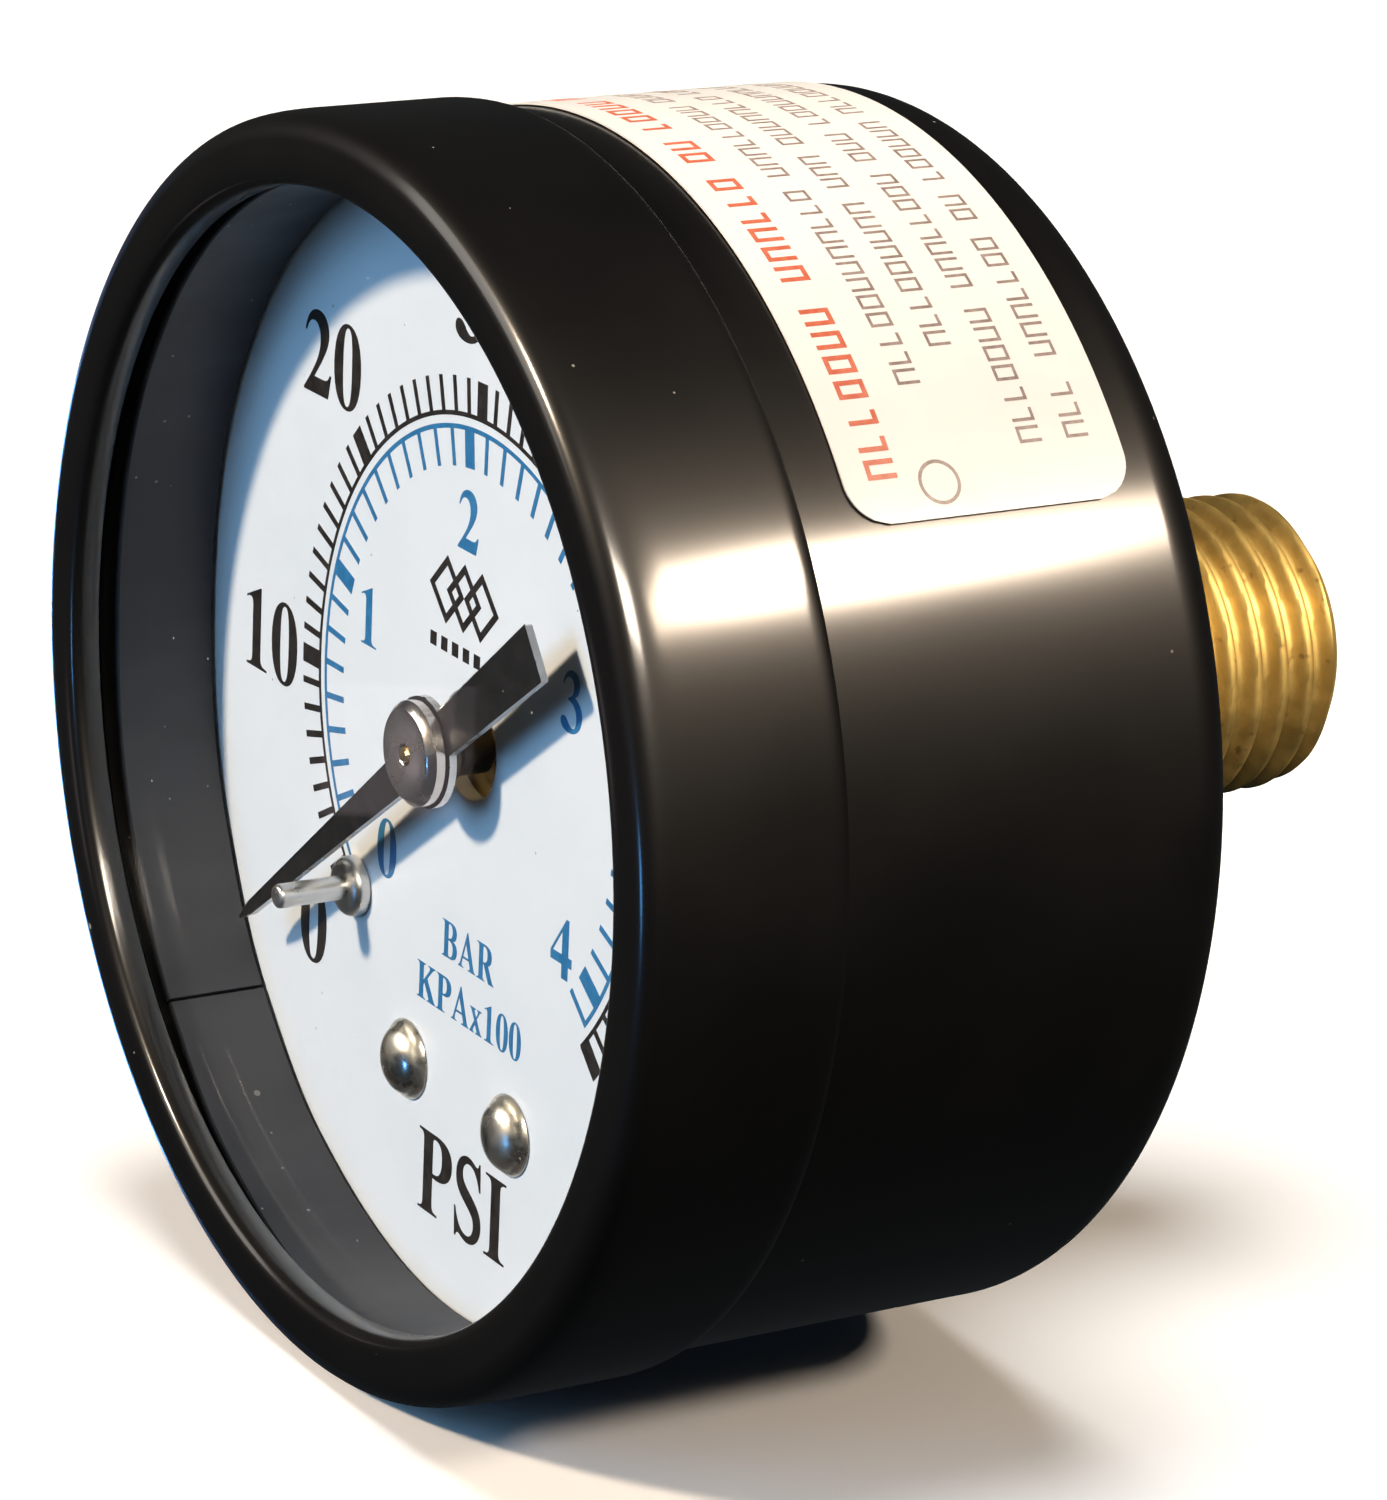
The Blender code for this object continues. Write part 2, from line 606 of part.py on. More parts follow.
def make_sector(axis):
    """The toothed sector, its arbor and the pin on its tail."""
    pitch = 360.0 / SECTOR_TEETH
    first = 90.0 - pitch * math.floor((90.0 - SECTOR_SPAN[0]) / pitch)
    count = int((SECTOR_SPAN[1] - first) / pitch) + 1
    teeth = toothed_arc(SECTOR_TEETH, count, first, SECTOR_PIVOT)
    spread = math.degrees(math.acos((SECTOR_HUB - 1.0) / TAIL_LENGTH))
    tail = TAIL_ANGLE + 360.0
    hub_left = arc(SECTOR_HUB, 145.0, tail - spread, 5, SECTOR_PIVOT)
    eye = arc(1.0, tail - spread, tail + spread, 8, TAIL_PIN)
    hub_right = arc(SECTOR_HUB, tail + spread, 366.0, 1, SECTOR_PIVOT)
    outline = teeth + hub_left + eye + hub_right
    sector = add("sector_gear", plate(outline, SECTOR_FRONT, SECTOR_REAR), "brass", axis)
    window = arc(8.0, 52.0, 89.0, 6, SECTOR_PIVOT) + arc(3.6, 80.0, 61.0, 3, SECTOR_PIVOT)
    cut(sector, plate(window, SECTOR_FRONT - 1, SECTOR_REAR + 1))
    cut(sector, rod(0.85, SECTOR_FRONT - 1, SECTOR_REAR + 1, SECTOR_PIVOT))
    cut(sector, rod(0.45, SECTOR_FRONT - 1, SECTOR_REAR + 1, TAIL_PIN))
    shaft = [(0, 8.3), (0.5, 8.3), (0.5, 9.5), (0.8, 9.5), (0.8, 12.1), (1.3, 12.1), (1.3, 12.9)]
    shaft += [(0.8, 12.9), (0.8, 14.8), (0.5, 14.8), (0.5, 15.9), (0, 15.9)]
    add("sector_arbor", turned(shaft, COARSE, SECTOR_PIVOT), "screw_steel", axis)
    pin = [(0, 9.55), (0.7, 9.55), (0.7, 9.85), (0.4, 9.85), (0.4, 12.4), (0, 12.4)]
    add("sector_pin", turned(pin, COARSE, TAIL_PIN), "screw_steel", axis)


def make_link(axis):
    """The flat link from the tube's tip to the sector's tail, and the pin at the tip."""
    outline = bar_with_eyes(TAIL_PIN, 1.3, TIP_PIN, 1.1, 0.7)
    link = add("link", plate(outline, LINK_FRONT, LINK_REAR), "brass", axis)
    cut(link, rod(0.8, LINK_FRONT - 1, LINK_REAR + 1, TAIL_PIN, MEDIUM))
    cut(link, rod(0.45, LINK_FRONT - 1, LINK_REAR + 1, TIP_PIN))


def make_tip_pin(axis):
    pin = [(0, 9.55), (0.7, 9.55), (0.7, 9.85), (0.4, 9.85), (0.4, 12.4), (0, 12.4)]
    add("tip_pin", turned(pin, COARSE, TIP_PIN), "screw_steel", axis)


# ---- Bourdon tube and socket ---------------------------------------------------------------


def flat_section(thick, wide):
    """Half-round-ended section as (outward, depth) offsets from the tube's centreline."""
    end = (wide - thick) / 2
    right = [(across, end + along) for across, along in arc(thick / 2, 0, 180, 3)]
    return right + [(-across, -along) for across, along in right]


def swept(sections, start, end, steps):
    """Section loops carried round the tube's arc. Two loops make a hollow length."""
    mesh = bmesh.new()
    loops = []
    for section in sections:
        rings = []
        for i in range(steps + 1):
            angle = start + (end - start) * i / steps
            ring = []
            for across, along in section:
                x, z = polar(TUBE_RADIUS + across, angle)
                ring.append(mesh.verts.new(place(x, TUBE_MIDDLE + along, z)))
            rings.append(ring)
        for ring, following in zip(rings, rings[1:]):
            bridge(mesh, ring, following)
        loops.append(rings)
    for end_index in (0, -1):
        if len(loops) == 2:
            bridge(mesh, loops[0][end_index], loops[1][end_index])
        else:
            mesh.faces.new(loops[0][end_index])
    return mesh


def make_bourdon_tube():
    outer = flat_section(TUBE_THICK, TUBE_WIDE)
    inner = flat_section(TUBE_THICK - 2 * TUBE_WALL, TUBE_WIDE - 2 * TUBE_WALL)
    mesh = swept([outer, inner], TUBE_ROOT + 360, TUBE_END, 32)
    add("bourdon_tube", mesh, "bronze")


def make_tube_tip(axis):
    """The cap brazed on the tube's free end, with the lug that carries the link."""
    half = TIP_THICK / 2
    corners = [(0.15, half), (0.15, -half), (TIP_LENGTH, -half + 0.4), (TIP_LENGTH, half - 0.4)]
    outline = hull([from_tube_end(onward, inward) for onward, inward in corners])
    front, back = TUBE_MIDDLE - TUBE_WIDE / 2 - 0.3, TUBE_MIDDLE + TUBE_WIDE / 2 + 0.3
    tip = add("tube_tip", plate(outline, front, back), "brass", axis)
    lug = rounded_hull((*TIP_PIN, 1.1), (*from_tube_end(1.9, 0.4), 1.0))
    join(tip, plate(lug, SECTOR_FRONT, SECTOR_REAR))
    cut(tip, rod(0.45, SECTOR_FRONT - 0.5, SECTOR_REAR + 0.5, TIP_PIN))


def stem_radius(depth):
    return THREAD_SMALL_RADIUS + (OVERALL_DEPTH - depth) * THREAD_TAPER


def make_socket():
    """The brass block that everything hangs on: foot, flange, wrench hexagon and stem."""
    left, right, bottom, top = FOOT
    corners = [(left, bottom), (right, bottom), (right, top), (left, top)]
    outline = hull(circle(SOCKET_RADIUS, (0.0, 0.0), 48) + corners)
    socket = add("socket", plate(outline, SOCKET_FRONT, SOCKET_REAR), "brass")
    join(socket, plate(corners, FOOT_FRONT, SOCKET_FRONT + 1))
    corner_radius = HEX_FLATS / 2 / math.cos(math.radians(30))
    hexagon = [polar(corner_radius, 30 + 60 * i) for i in range(6)]
    join(socket, plate(hexagon, HEX_FRONT - 0.5, HEX_REAR))
    join(socket, rod(NECK_RADIUS, SOCKET_REAR - 1, HEX_FRONT, steps=48))
    start, end = HEX_REAR - 0.6, OVERALL_DEPTH
    stem = [(0, start), (stem_radius(start), start), (stem_radius(end - 0.9), end - 0.9)]
    stem += [(THREAD_SMALL_RADIUS - 0.9, end), (0, end)]
    join(socket, turned(stem, 48))
    bore = [(0, 21.0), (1.2, 21.5), (1.2, 36.0), (BORE_RADIUS, 36.5), (BORE_RADIUS, end - 0.4)]
    cut(socket, turned(bore + [(2.6, end + 0.3), (0, end + 0.3)], MEDIUM))
    drain = polar(TUBE_RADIUS, TUBE_ROOT + 2.0)
    across = (place(0, 22.0, 0), place(drain[0], 22.0, drain[1]))
    forward = (place(drain[0], 22.3, drain[1]), place(drain[0], 13.0, drain[1]))
    for start, end in (across, forward):
        cut(socket, drill(start, end, PASSAGE_RADIUS))
    pocket = flat_section(TUBE_THICK + 2 * AIR, TUBE_WIDE + 2 * AIR)
    cut(socket, swept([pocket], TUBE_ROOT - 14, TUBE_ROOT + 0.6, 4))
    for centre in MOVEMENT_SCREWS.values():
        cut(socket, rod(0.85, SOCKET_FRONT - 1, 19.8, centre))
    for side in (-1, 1):
        cut(socket, rod(1.3, 21.5, SOCKET_REAR + 1, (side * CASE_SCREW_OFFSET, 0.0)))


def make_restrictor():
    """A screw with a fine hole that damps pulses, sunk in the mouth of the bore."""
    front, back = RESTRICTOR_FRONT, RESTRICTOR_REAR
    add("restrictor", tube(BORE_RADIUS - RUNNING, 0.35, front, back, steps=COARSE), "screw_steel")


# ---- Assembly ------------------------------------------------------------------------------


def build():
    for item in list(bpy.data.objects):
        bpy.data.objects.remove(item)
    pointer_axis = joint_axis("pointer_axis", (0.0, 0.0), PINION_FRONT)
    sector_axis = joint_axis("sector_axis", SECTOR_PIVOT, SECTOR_FRONT)
    tip_axis = joint_axis("tip_axis", TIP_TURNS_ABOUT, TUBE_MIDDLE)
    link_axis = joint_axis("link_axis", TIP_PIN, LINK_FRONT)
    make_bezel()
    make_case()
    make_case_screws()
    make_window()
    make_spacer()
    make_label()
    make_dial()
    make_dial_screws()
    make_stop_pin()
    make_pointer(pointer_axis)
    make_pointer_knob(pointer_axis)
    make_pointer_bush(pointer_axis)
    make_pinion_arbor(pointer_axis)
    stud = make_hairspring(pointer_axis)
    make_plates(stud)
    make_pillars()
    make_movement_screws()
    make_sector(sector_axis)
    make_link(link_axis)
    make_tip_pin(tip_axis)
    make_bourdon_tube()
    make_tube_tip(tip_axis)
    make_socket()
    make_restrictor()


build()
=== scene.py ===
import math
import re

import bmesh
import bpy
from mathutils import Matrix, Vector
from mathutils.geometry import tessellate_polygon


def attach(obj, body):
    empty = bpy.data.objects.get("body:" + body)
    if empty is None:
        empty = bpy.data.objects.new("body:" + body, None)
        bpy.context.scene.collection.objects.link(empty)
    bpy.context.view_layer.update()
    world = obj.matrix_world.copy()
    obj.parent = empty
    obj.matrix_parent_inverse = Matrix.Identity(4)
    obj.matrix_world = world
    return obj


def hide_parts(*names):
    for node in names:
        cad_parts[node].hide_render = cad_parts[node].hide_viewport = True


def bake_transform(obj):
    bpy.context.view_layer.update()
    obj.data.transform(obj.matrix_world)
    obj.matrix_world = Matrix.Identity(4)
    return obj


# The looks of a back-connected 50 mm pressure gauge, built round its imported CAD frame.
# The dial faces -Y, the stem points along +Y and +Z is up on the dial. Sizes here are in
# millimetres and are turned to metres where vertices are made. A "depth" is a distance behind
# the front of the bezel. Angles are in degrees, counterclockwise from +X as seen from the front.

MM = 0.001
OVERALL_DEPTH = 47.9
ROUND = 240  # sides on the large round pieces
SMALL_ROUND = 72  # sides on the small ones
HOLE_ROUND = 48  # sides on holes, the stop pin and the case screws

BEZEL_RADIUS, BEZEL_REAR, BEZEL_SHEET = 27.0, 9.2, 0.45
BEZEL_ROLL = 1.3  # radius of the front edge's bend, as the inside of the sheet follows it
OPENING_RADIUS, LIP_REAR = 23.95, 1.45
CASE_RADIUS, CASE_FRONT, CASE_REAR = 26.4, 2.3, 28.1
CASE_SHEET, CASE_CORNER, CASE_HOLE = 0.7, 2.4, 8.5
CASE_SCREW_OFFSET, CASE_SCREW_HOLE = 11.2, 1.4
WINDOW_RADIUS, WINDOW_FRONT, WINDOW_REAR = 26.4, 1.55, 2.15
SPACER_FRONT, SPACER_REAR, SPACER_THICK = 2.25, 6.95, 0.32
SPACER_BOW = {-137: 24.5, -120: 24.9, -90: 25.3, -50: 25.2, 0: 24.6, 50: 24.3, 90: 24.2, 125: 24.1,
              150: 24.0, 180: 23.8, 205: 24.1, 223: 24.5}  # inner radius at some angles
SPACER_JOINT, SPACER_JOINT_GAP = -137.0, 0.4
DIAL_FRONT, DIAL_REAR, DIAL_RADIUS, DIAL_HOLE = 7.1, 7.9, 25.55, 2.35
DIAL_SCREWS = {"dial_screw_left": (-4.44, -15.53), "dial_screw_right": (4.61, -15.82)}
DIAL_SCREW_HOLE = 1.2
STOP_PIN, PIN_RADIUS, PIN_FRONT, PIN_HOLE = (-9.54, -9.22), 0.54, 3.1, 0.7
COLLAR_RADIUS = 1.34
INK_FRONT, INK_BACK = DIAL_FRONT - 0.012, DIAL_FRONT + 0.01
BLACK, BLUE = 1, 2  # material numbers of the two inks on the dial
PRINT_CENTRE = (0.48, 0.12)
SCALE_START = 226.0
DEGREES_PER_PSI, DEGREES_PER_BAR = 4.5, 65.267
BLACK_ARC, BLACK_TICK, BLUE_ARC, BLUE_TICK = 14.02, 15.6, 13.47, 11.8
BLACK_MAJOR, BLACK_MINOR, BLUE_MAJOR, BLUE_MINOR = 0.85, 0.3, 0.8, 0.28  # widths of the ticks
ARC_WIDTH = 0.2
PSI_FIGURE, BAR_FIGURE, SMALL_TYPE, LARGE_TYPE = 3.7, 2.6, 1.65, 3.75  # heights of the print
POINTER_ANGLE = 217.5
POINTER_FRONT, POINTER_REAR, POINTER_BORE = 4.95, 5.25, 0.45
LABEL_SPAN = (34.0, 146.0)
LABEL_FRONT, LABEL_REAR = 11.6, 24.7
LABEL_CORNER, LABEL_INNER, LABEL_OUTER = 1.8, 26.46, 26.46 + 0.08
MARK_INNER, MARK_OUTER = LABEL_OUTER - 0.02, LABEL_OUTER + 0.008
PER_DEGREE = LABEL_INNER * math.pi / 180  # mm along the label for one degree
TUBE_RADIUS, TUBE_MIDDLE = 18.5, 13.0
TUBE_THICK, TUBE_WIDE = 2.0, 6.4
TUBE_ROOT, TUBE_END = 246.0, -22.0  # angles of its fixed and its free end
SOCKET_FRONT, SOCKET_REAR, SOCKET_RADIUS = 16.5, 27.2, 13.0
HEX_FLATS, HEX_FRONT, HEX_REAR = 14.3, 28.4, 33.8
NECK_RADIUS = 8.2
THREAD_SMALL_RADIUS, THREAD_TAPER = 6.6, 1 / 32
THREAD_PITCH, THREAD_HEIGHT, THREAD_RUNOUT = 1.411, 0.72, 1.6
CREST_FLAT = 0.12  # share of half a pitch
BORE_RADIUS = 1.9

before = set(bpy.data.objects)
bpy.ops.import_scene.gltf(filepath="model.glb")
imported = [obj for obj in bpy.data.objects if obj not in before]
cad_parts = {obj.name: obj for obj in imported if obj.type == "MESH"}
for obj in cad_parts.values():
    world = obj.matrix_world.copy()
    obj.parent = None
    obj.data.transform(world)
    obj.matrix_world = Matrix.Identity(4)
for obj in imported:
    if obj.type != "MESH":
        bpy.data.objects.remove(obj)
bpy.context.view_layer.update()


# ---- Geometry helpers


def place(x, depth, z):
    return Vector((x * MM, (depth - OVERALL_DEPTH) * MM, z * MM))


def polar(radius, degrees, centre=(0.0, 0.0)):
    angle = math.radians(degrees)
    return (centre[0] + radius * math.cos(angle), centre[1] + radius * math.sin(angle))


def place_round(radius, angle, depth, centre=(0.0, 0.0)):
    """A place at a radius and an angle round a line along Y."""
    x, z = polar(radius, angle, centre)
    return place(x, depth, z)


def arc(radius, start, end, steps, centre=(0.0, 0.0)):
    return [polar(radius, start + (end - start) * i / steps, centre) for i in range(steps + 1)]


def curve_through(start, control, end, steps):
    """Points on a quadratic curve, both ends included."""
    points = []
    for i in range(steps + 1):
        t = i / steps
        points.append(tuple((1 - t) ** 2 * a + 2 * t * (1 - t) * c + t * t * b
                            for a, c, b in zip(start, control, end)))
    return points


def corner(radius_centre, depth_centre, radius, start, end, steps):
    """Profile points round a corner. 0 degrees faces outward and 90 degrees faces the rear."""
    points = arc(radius, start, end, steps)
    return [(radius_centre + across, depth_centre + back) for across, back in points]


def bridge(mesh, ring, following):
    """Faces between two rings of vertices, either of which may be a single vertex."""
    count, faces = max(len(ring), len(following)), []
    for i in range(count if count > 1 else 0):
        j = (i + 1) % count
        corners = [ring[i % len(ring)], ring[j % len(ring)]]
        corners += [following[j % len(following)], following[i % len(following)]]
        faces.append(mesh.faces.new(list(dict.fromkeys(corners))))
    return faces


def sweep(mesh, rings, closed=False, material=0):
    """Faces through a row of rings, which closes on itself or has a cap at each end."""
    faces = [] if closed else [mesh.faces.new(rings[0]), mesh.faces.new(rings[-1])]
    for ring, following in zip(rings, rings[1:] + rings[:1] if closed else rings[1:]):
        faces += bridge(mesh, ring, following)
    for face in faces:
        face.material_index = material


def turned(profile, sides=SMALL_ROUND, centre=(0.0, 0.0), mesh=None):
    """A solid turned about a line along Y, from a closed loop of (radius, depth)."""
    mesh = mesh or bmesh.new()
    rings = []
    for radius, depth in profile:
        angles = [360 * (i + 0.5) / sides for i in range(sides)] if radius > 0 else [0.0]
        rings.append([mesh.verts.new(place_round(radius, a, depth, centre)) for a in angles])
    sweep(mesh, rings, closed=True)
    return mesh


def prism(loops, front, back, mesh=None, material=0):
    """A flat solid from an outline and its holes, each a loop of (x, z)."""
    mesh = mesh or bmesh.new()
    triangles = tessellate_polygon([[Vector((x, z, 0)) for x, z in loop] for loop in loops])
    rows = []
    for depth in (front, back):
        rows.append([[mesh.verts.new(place(x, depth, z)) for x, z in loop] for loop in loops])
    faces = []
    for row in rows:
        flat = [vert for loop in row for vert in loop]
        faces += [mesh.faces.new([flat[i] for i in corners]) for corners in triangles]
    for near, far in zip(*rows):
        faces += bridge(mesh, near, far)
    for face in faces:
        face.material_index = material
    return mesh


def link_mesh(name, mesh):
    """Turn a finished mesh into an object in the scene."""
    bmesh.ops.recalc_face_normals(mesh, faces=mesh.faces)
    data = bpy.data.meshes.new(name)
    mesh.to_mesh(data)
    mesh.free()
    made = bpy.data.objects.new(name, data)
    bpy.context.scene.collection.objects.link(made)
    return made


def piece(name, mesh, materials, body, replaced, sharp=30.0):
    """Make one piece that rides on a body and stands for CAD nodes.

    A piece that its maker blends between two bodies is given no body here.
    """
    made = link_mesh(name, mesh)
    made.data.shade_smooth()
    made.data.set_sharp_from_angle(angle=math.radians(sharp))
    for material in materials:
        made.data.materials.append(material)
    if body:
        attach(made, body)
    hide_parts(*replaced)
    return made


def cut(target, mesh):
    """Take a solid out of a piece at once, so that no modifier is left."""
    cutter = link_mesh("cutter", mesh)
    step = target.modifiers.new("cut", "BOOLEAN")
    step.operation, step.solver, step.object = "DIFFERENCE", "EXACT", cutter
    bpy.context.view_layer.update()
    graph = bpy.context.evaluated_depsgraph_get()
    result = bpy.data.meshes.new_from_object(target.evaluated_get(graph))
    target.modifiers.remove(step)
    target.data = result
    bpy.data.objects.remove(cutter)


def drill(target, centre, radius, front, rear):
    """Cut a round hole through a piece between two depths."""
    bit = [(0, front), (radius, front), (radius, rear), (0, rear)]
    cut(target, turned(bit, HOLE_ROUND, centre))


# ---- Materials


class Finish:
    """One node material, and short ways to add the nodes that it is made of."""

    def __init__(self, name, **values):
        """Values are inputs of the main shader, named with _ for each space."""
        self.material = bpy.data.materials.new(name)
        self.material.use_nodes = True
        self.tree = self.material.node_tree
        self.shader = self.tree.nodes["Principled BSDF"]
        self.output = self.tree.nodes["Material Output"]
        for socket, value in values.items():
            self.shader.inputs[socket.replace("_", " ")].default_value = value
        self.where = self.tree.nodes.new("ShaderNodeTexCoord").outputs["Object"]

    def node(self, kind, **settings):
        made = self.tree.nodes.new("ShaderNode" + kind)
        for key, value in settings.items():
            setattr(made, key, value)
        return made

    def wire(self, source, target):
        if isinstance(source, (int, float)):
            target.default_value = source
        elif isinstance(source, tuple):
            target.default_value = (*source, 1.0)[:len(target.default_value)]
        else:
            self.tree.links.new(source, target)

    def stretched(self, x, y, z):
        mapping = self.node("Mapping")
        self.wire(self.where, mapping.inputs["Vector"])
        mapping.inputs["Scale"].default_value = (x, y, z)
        return mapping.outputs["Vector"]

    def noise(self, scale, detail=3.0, vector=None):
        """Noise from 0 to 1, with a scale in features per metre."""
        made = self.node("TexNoise")
        self.wire(vector or self.where, made.inputs["Vector"])
        made.inputs["Scale"].default_value = scale
        made.inputs["Detail"].default_value = detail
        return made.outputs["Fac"]

    def span(self, value, low, high, to_low=0.0, to_high=1.0):
        made = self.node("MapRange", interpolation_type="SMOOTHSTEP")
        sockets = ("Value", "From Min", "From Max", "To Min", "To Max")
        for socket, source in zip(sockets, (value, low, high, to_low, to_high)):
            self.wire(source, made.inputs[socket])
        return made.outputs["Result"]

    def maths(self, operation, a, b=0.0):
        made = self.node("Math", operation=operation)
        self.wire(a, made.inputs[0])
        self.wire(b, made.inputs[1])
        return made.outputs[0]

    def mix(self, factor, a, b, plain=False):
        """A mix of two colours, or of two plain numbers."""
        made = self.node("Mix", data_type="FLOAT" if plain else "RGBA")
        for socket, source in zip((0, 2, 3) if plain else (0, 6, 7), (factor, a, b)):
            self.wire(source, made.inputs[socket])
        return made.outputs[0 if plain else 2]

    def mix_shader(self, factor, a, b):
        made = self.node("MixShader")
        for socket, source in zip(made.inputs, (factor, a.outputs[0], b.outputs[0])):
            self.wire(source, socket)
        return made

    def specks(self, cell, size, share):
        """A mask of round specks about size mm across, in a share of cells cell mm wide."""
        made = self.node("TexVoronoi")
        self.wire(self.where, made.inputs["Vector"])
        made.inputs["Scale"].default_value = 1000.0 / cell
        near = self.maths("LESS_THAN", made.outputs["Distance"], size / cell / 2)
        split = self.node("SeparateColor")
        self.wire(made.outputs["Color"], split.inputs[0])
        kept = self.maths("LESS_THAN", split.outputs[0], share)
        return self.maths("MULTIPLY", near, kept)

    def bump(self, height, distance, strength=1.0):
        made = self.node("Bump")
        made.inputs["Strength"].default_value = strength
        made.inputs["Distance"].default_value = distance * MM
        self.wire(height, made.inputs["Height"])
        self.wire(made.outputs["Normal"], self.shader.inputs["Normal"])

    def colour(self, value):
        self.wire(value, self.shader.inputs["Base Color"])

    def roughness(self, value):
        self.wire(value, self.shader.inputs["Roughness"])


def paint_finish():
    """Gloss black enamel with a trace of orange peel and sparse pale dust."""
    f = Finish("black_enamel", Specular_IOR_Level=0.13, Coat_Weight=0.65, Coat_Roughness=0.17)
    dust = f.maths("MAXIMUM", f.specks(1.3, 0.13, 0.1), f.specks(3.1, 0.26, 0.08))
    tone = f.mix(f.noise(90), (0.0015, 0.0014, 0.0015), (0.0035, 0.003, 0.003))
    f.colour(f.mix(dust, tone, (0.25, 0.22, 0.18)))
    haze = f.span(f.noise(140, 3), 0.3, 0.75, 0.42, 0.48)
    f.roughness(f.mix(dust, haze, 0.9, plain=True))
    f.bump(f.maths("MULTIPLY", dust, 0.5), 0.004, 0.5)
    return f.material


def window_finish():
    """Clear flat window: see-through, with a Schlick reflection and a little dust."""
    f = Finish("window_glass")
    f.tree.nodes.remove(f.shader)
    facing = f.node("LayerWeight")
    facing.inputs["Blend"].default_value = 0.5
    rise = f.maths("POWER", facing.outputs["Facing"], 5.0)
    amount = f.maths("ADD", f.maths("MULTIPLY", rise, 0.7), 0.005)
    clear = f.node("BsdfTransparent")
    clear.inputs["Color"].default_value = (0.97, 0.985, 0.99, 1)
    gloss = f.node("BsdfGlossy")
    gloss.inputs["Roughness"].default_value = 0.02
    pane = f.mix_shader(amount, clear, gloss)
    dusty = f.node("BsdfDiffuse")
    dusty.inputs["Color"].default_value = (0.6, 0.62, 0.62, 1)
    both = f.mix_shader(f.maths("MULTIPLY", f.specks(1.7, 0.12, 0.2), 0.5), pane, dusty)
    f.wire(both.outputs[0], f.output.inputs["Surface"])
    return f.material


def spacer_finish():
    """Dull dark grey strip with smudges, handling marks and dust."""
    f = Finish("spacer_strip", Specular_IOR_Level=0.35)
    dust = f.maths("MAXIMUM", f.specks(0.9, 0.13, 0.35), f.specks(2.1, 0.3, 0.22))
    smudge = f.span(f.noise(120, 4, f.stretched(1, 0.3, 1)), 0.35, 0.7)
    tone = f.mix(smudge, (0.026, 0.027, 0.034), (0.060, 0.060, 0.067))
    f.colour(f.mix(dust, tone, (0.22, 0.22, 0.21)))
    f.roughness(f.span(f.noise(200, 3), 0.3, 0.7, 0.42, 0.55))
    return f.material


def enamel_finish():
    """Cool white satin enamel of the dial, with faint mottling and a few specks."""
    f = Finish("dial_enamel", Specular_IOR_Level=0.4, Coat_Weight=0.25, Coat_Roughness=0.12)
    tone = f.mix(f.span(f.noise(120, 5), 0.3, 0.7), (0.79, 0.81, 0.84), (0.83, 0.84, 0.86))
    specks = f.maths("MAXIMUM", f.specks(1.9, 0.13, 0.2), f.specks(4.0, 0.26, 0.15))
    f.colour(f.mix(specks, tone, (0.42, 0.36, 0.3)))
    f.roughness(f.span(f.noise(900, 3), 0.3, 0.7, 0.34, 0.46))
    f.bump(f.noise(2200, 2), 0.002, 0.3)
    return f.material


def ink_finish(name, dark, light):
    """Screen-printed ink, a little uneven in its cover."""
    f = Finish(name, Specular_IOR_Level=0.4)
    f.colour(f.mix(f.span(f.noise(3000, 3), 0.25, 0.75), dark, light))
    f.roughness(f.span(f.noise(1500, 2), 0.3, 0.7, 0.35, 0.5))
    return f.material


def metal_finish(name, colour, stain, rough, grain=900.0, amount=0.5, lines=None):
    """Bare or plated metal: patchy stain, fine surface grain and uneven polish."""
    f = Finish(name, Metallic=1.0)
    patches = f.span(f.noise(grain / 4, 6), 0.35, 0.75, 0.0, amount)
    f.colour(f.mix(patches, colour, stain))
    vector = f.stretched(*lines) if lines else None
    f.roughness(f.span(f.noise(grain, 4, vector), 0.3, 0.7, rough * 0.75, rough * 1.35))
    f.bump(f.noise(grain * 3, 2, vector), 0.002, 0.35)
    return f.material


def pointer_finish():
    """Baked black-brown paint on the pointer, rubbed a little thin."""
    f = Finish("pointer_paint", Specular_IOR_Level=0.35)
    worn = f.span(f.noise(700, 6), 0.55, 0.8, 0.0, 0.6)
    tone = f.mix(worn, (0.010, 0.009, 0.009), (0.035, 0.028, 0.024))
    f.colour(f.mix(f.specks(0.8, 0.09, 0.3), tone, (0.3, 0.27, 0.22)))
    f.roughness(f.span(f.noise(1100, 4), 0.3, 0.7, 0.34, 0.5))
    f.bump(f.noise(2600, 3), 0.003, 0.5)
    return f.material


def brass_finish():
    """Old brass of the stem: golden crests, olive-brown tarnish and fine turning marks."""
    f = Finish("stem_brass", Metallic=1.0)
    tarnish = f.span(f.noise(420, 7), 0.32, 0.72)
    tone = f.mix(tarnish, (0.46, 0.335, 0.115), (0.33, 0.235, 0.075))
    spots = f.span(f.noise(1500, 4), 0.62, 0.75, 0.0, 0.7)
    f.colour(f.mix(spots, tone, (0.16, 0.10, 0.035)))
    f.roughness(f.span(f.noise(800, 5), 0.3, 0.75, 0.52, 0.66))
    f.bump(f.noise(1900, 4), 0.008, 0.4)
    return f.material


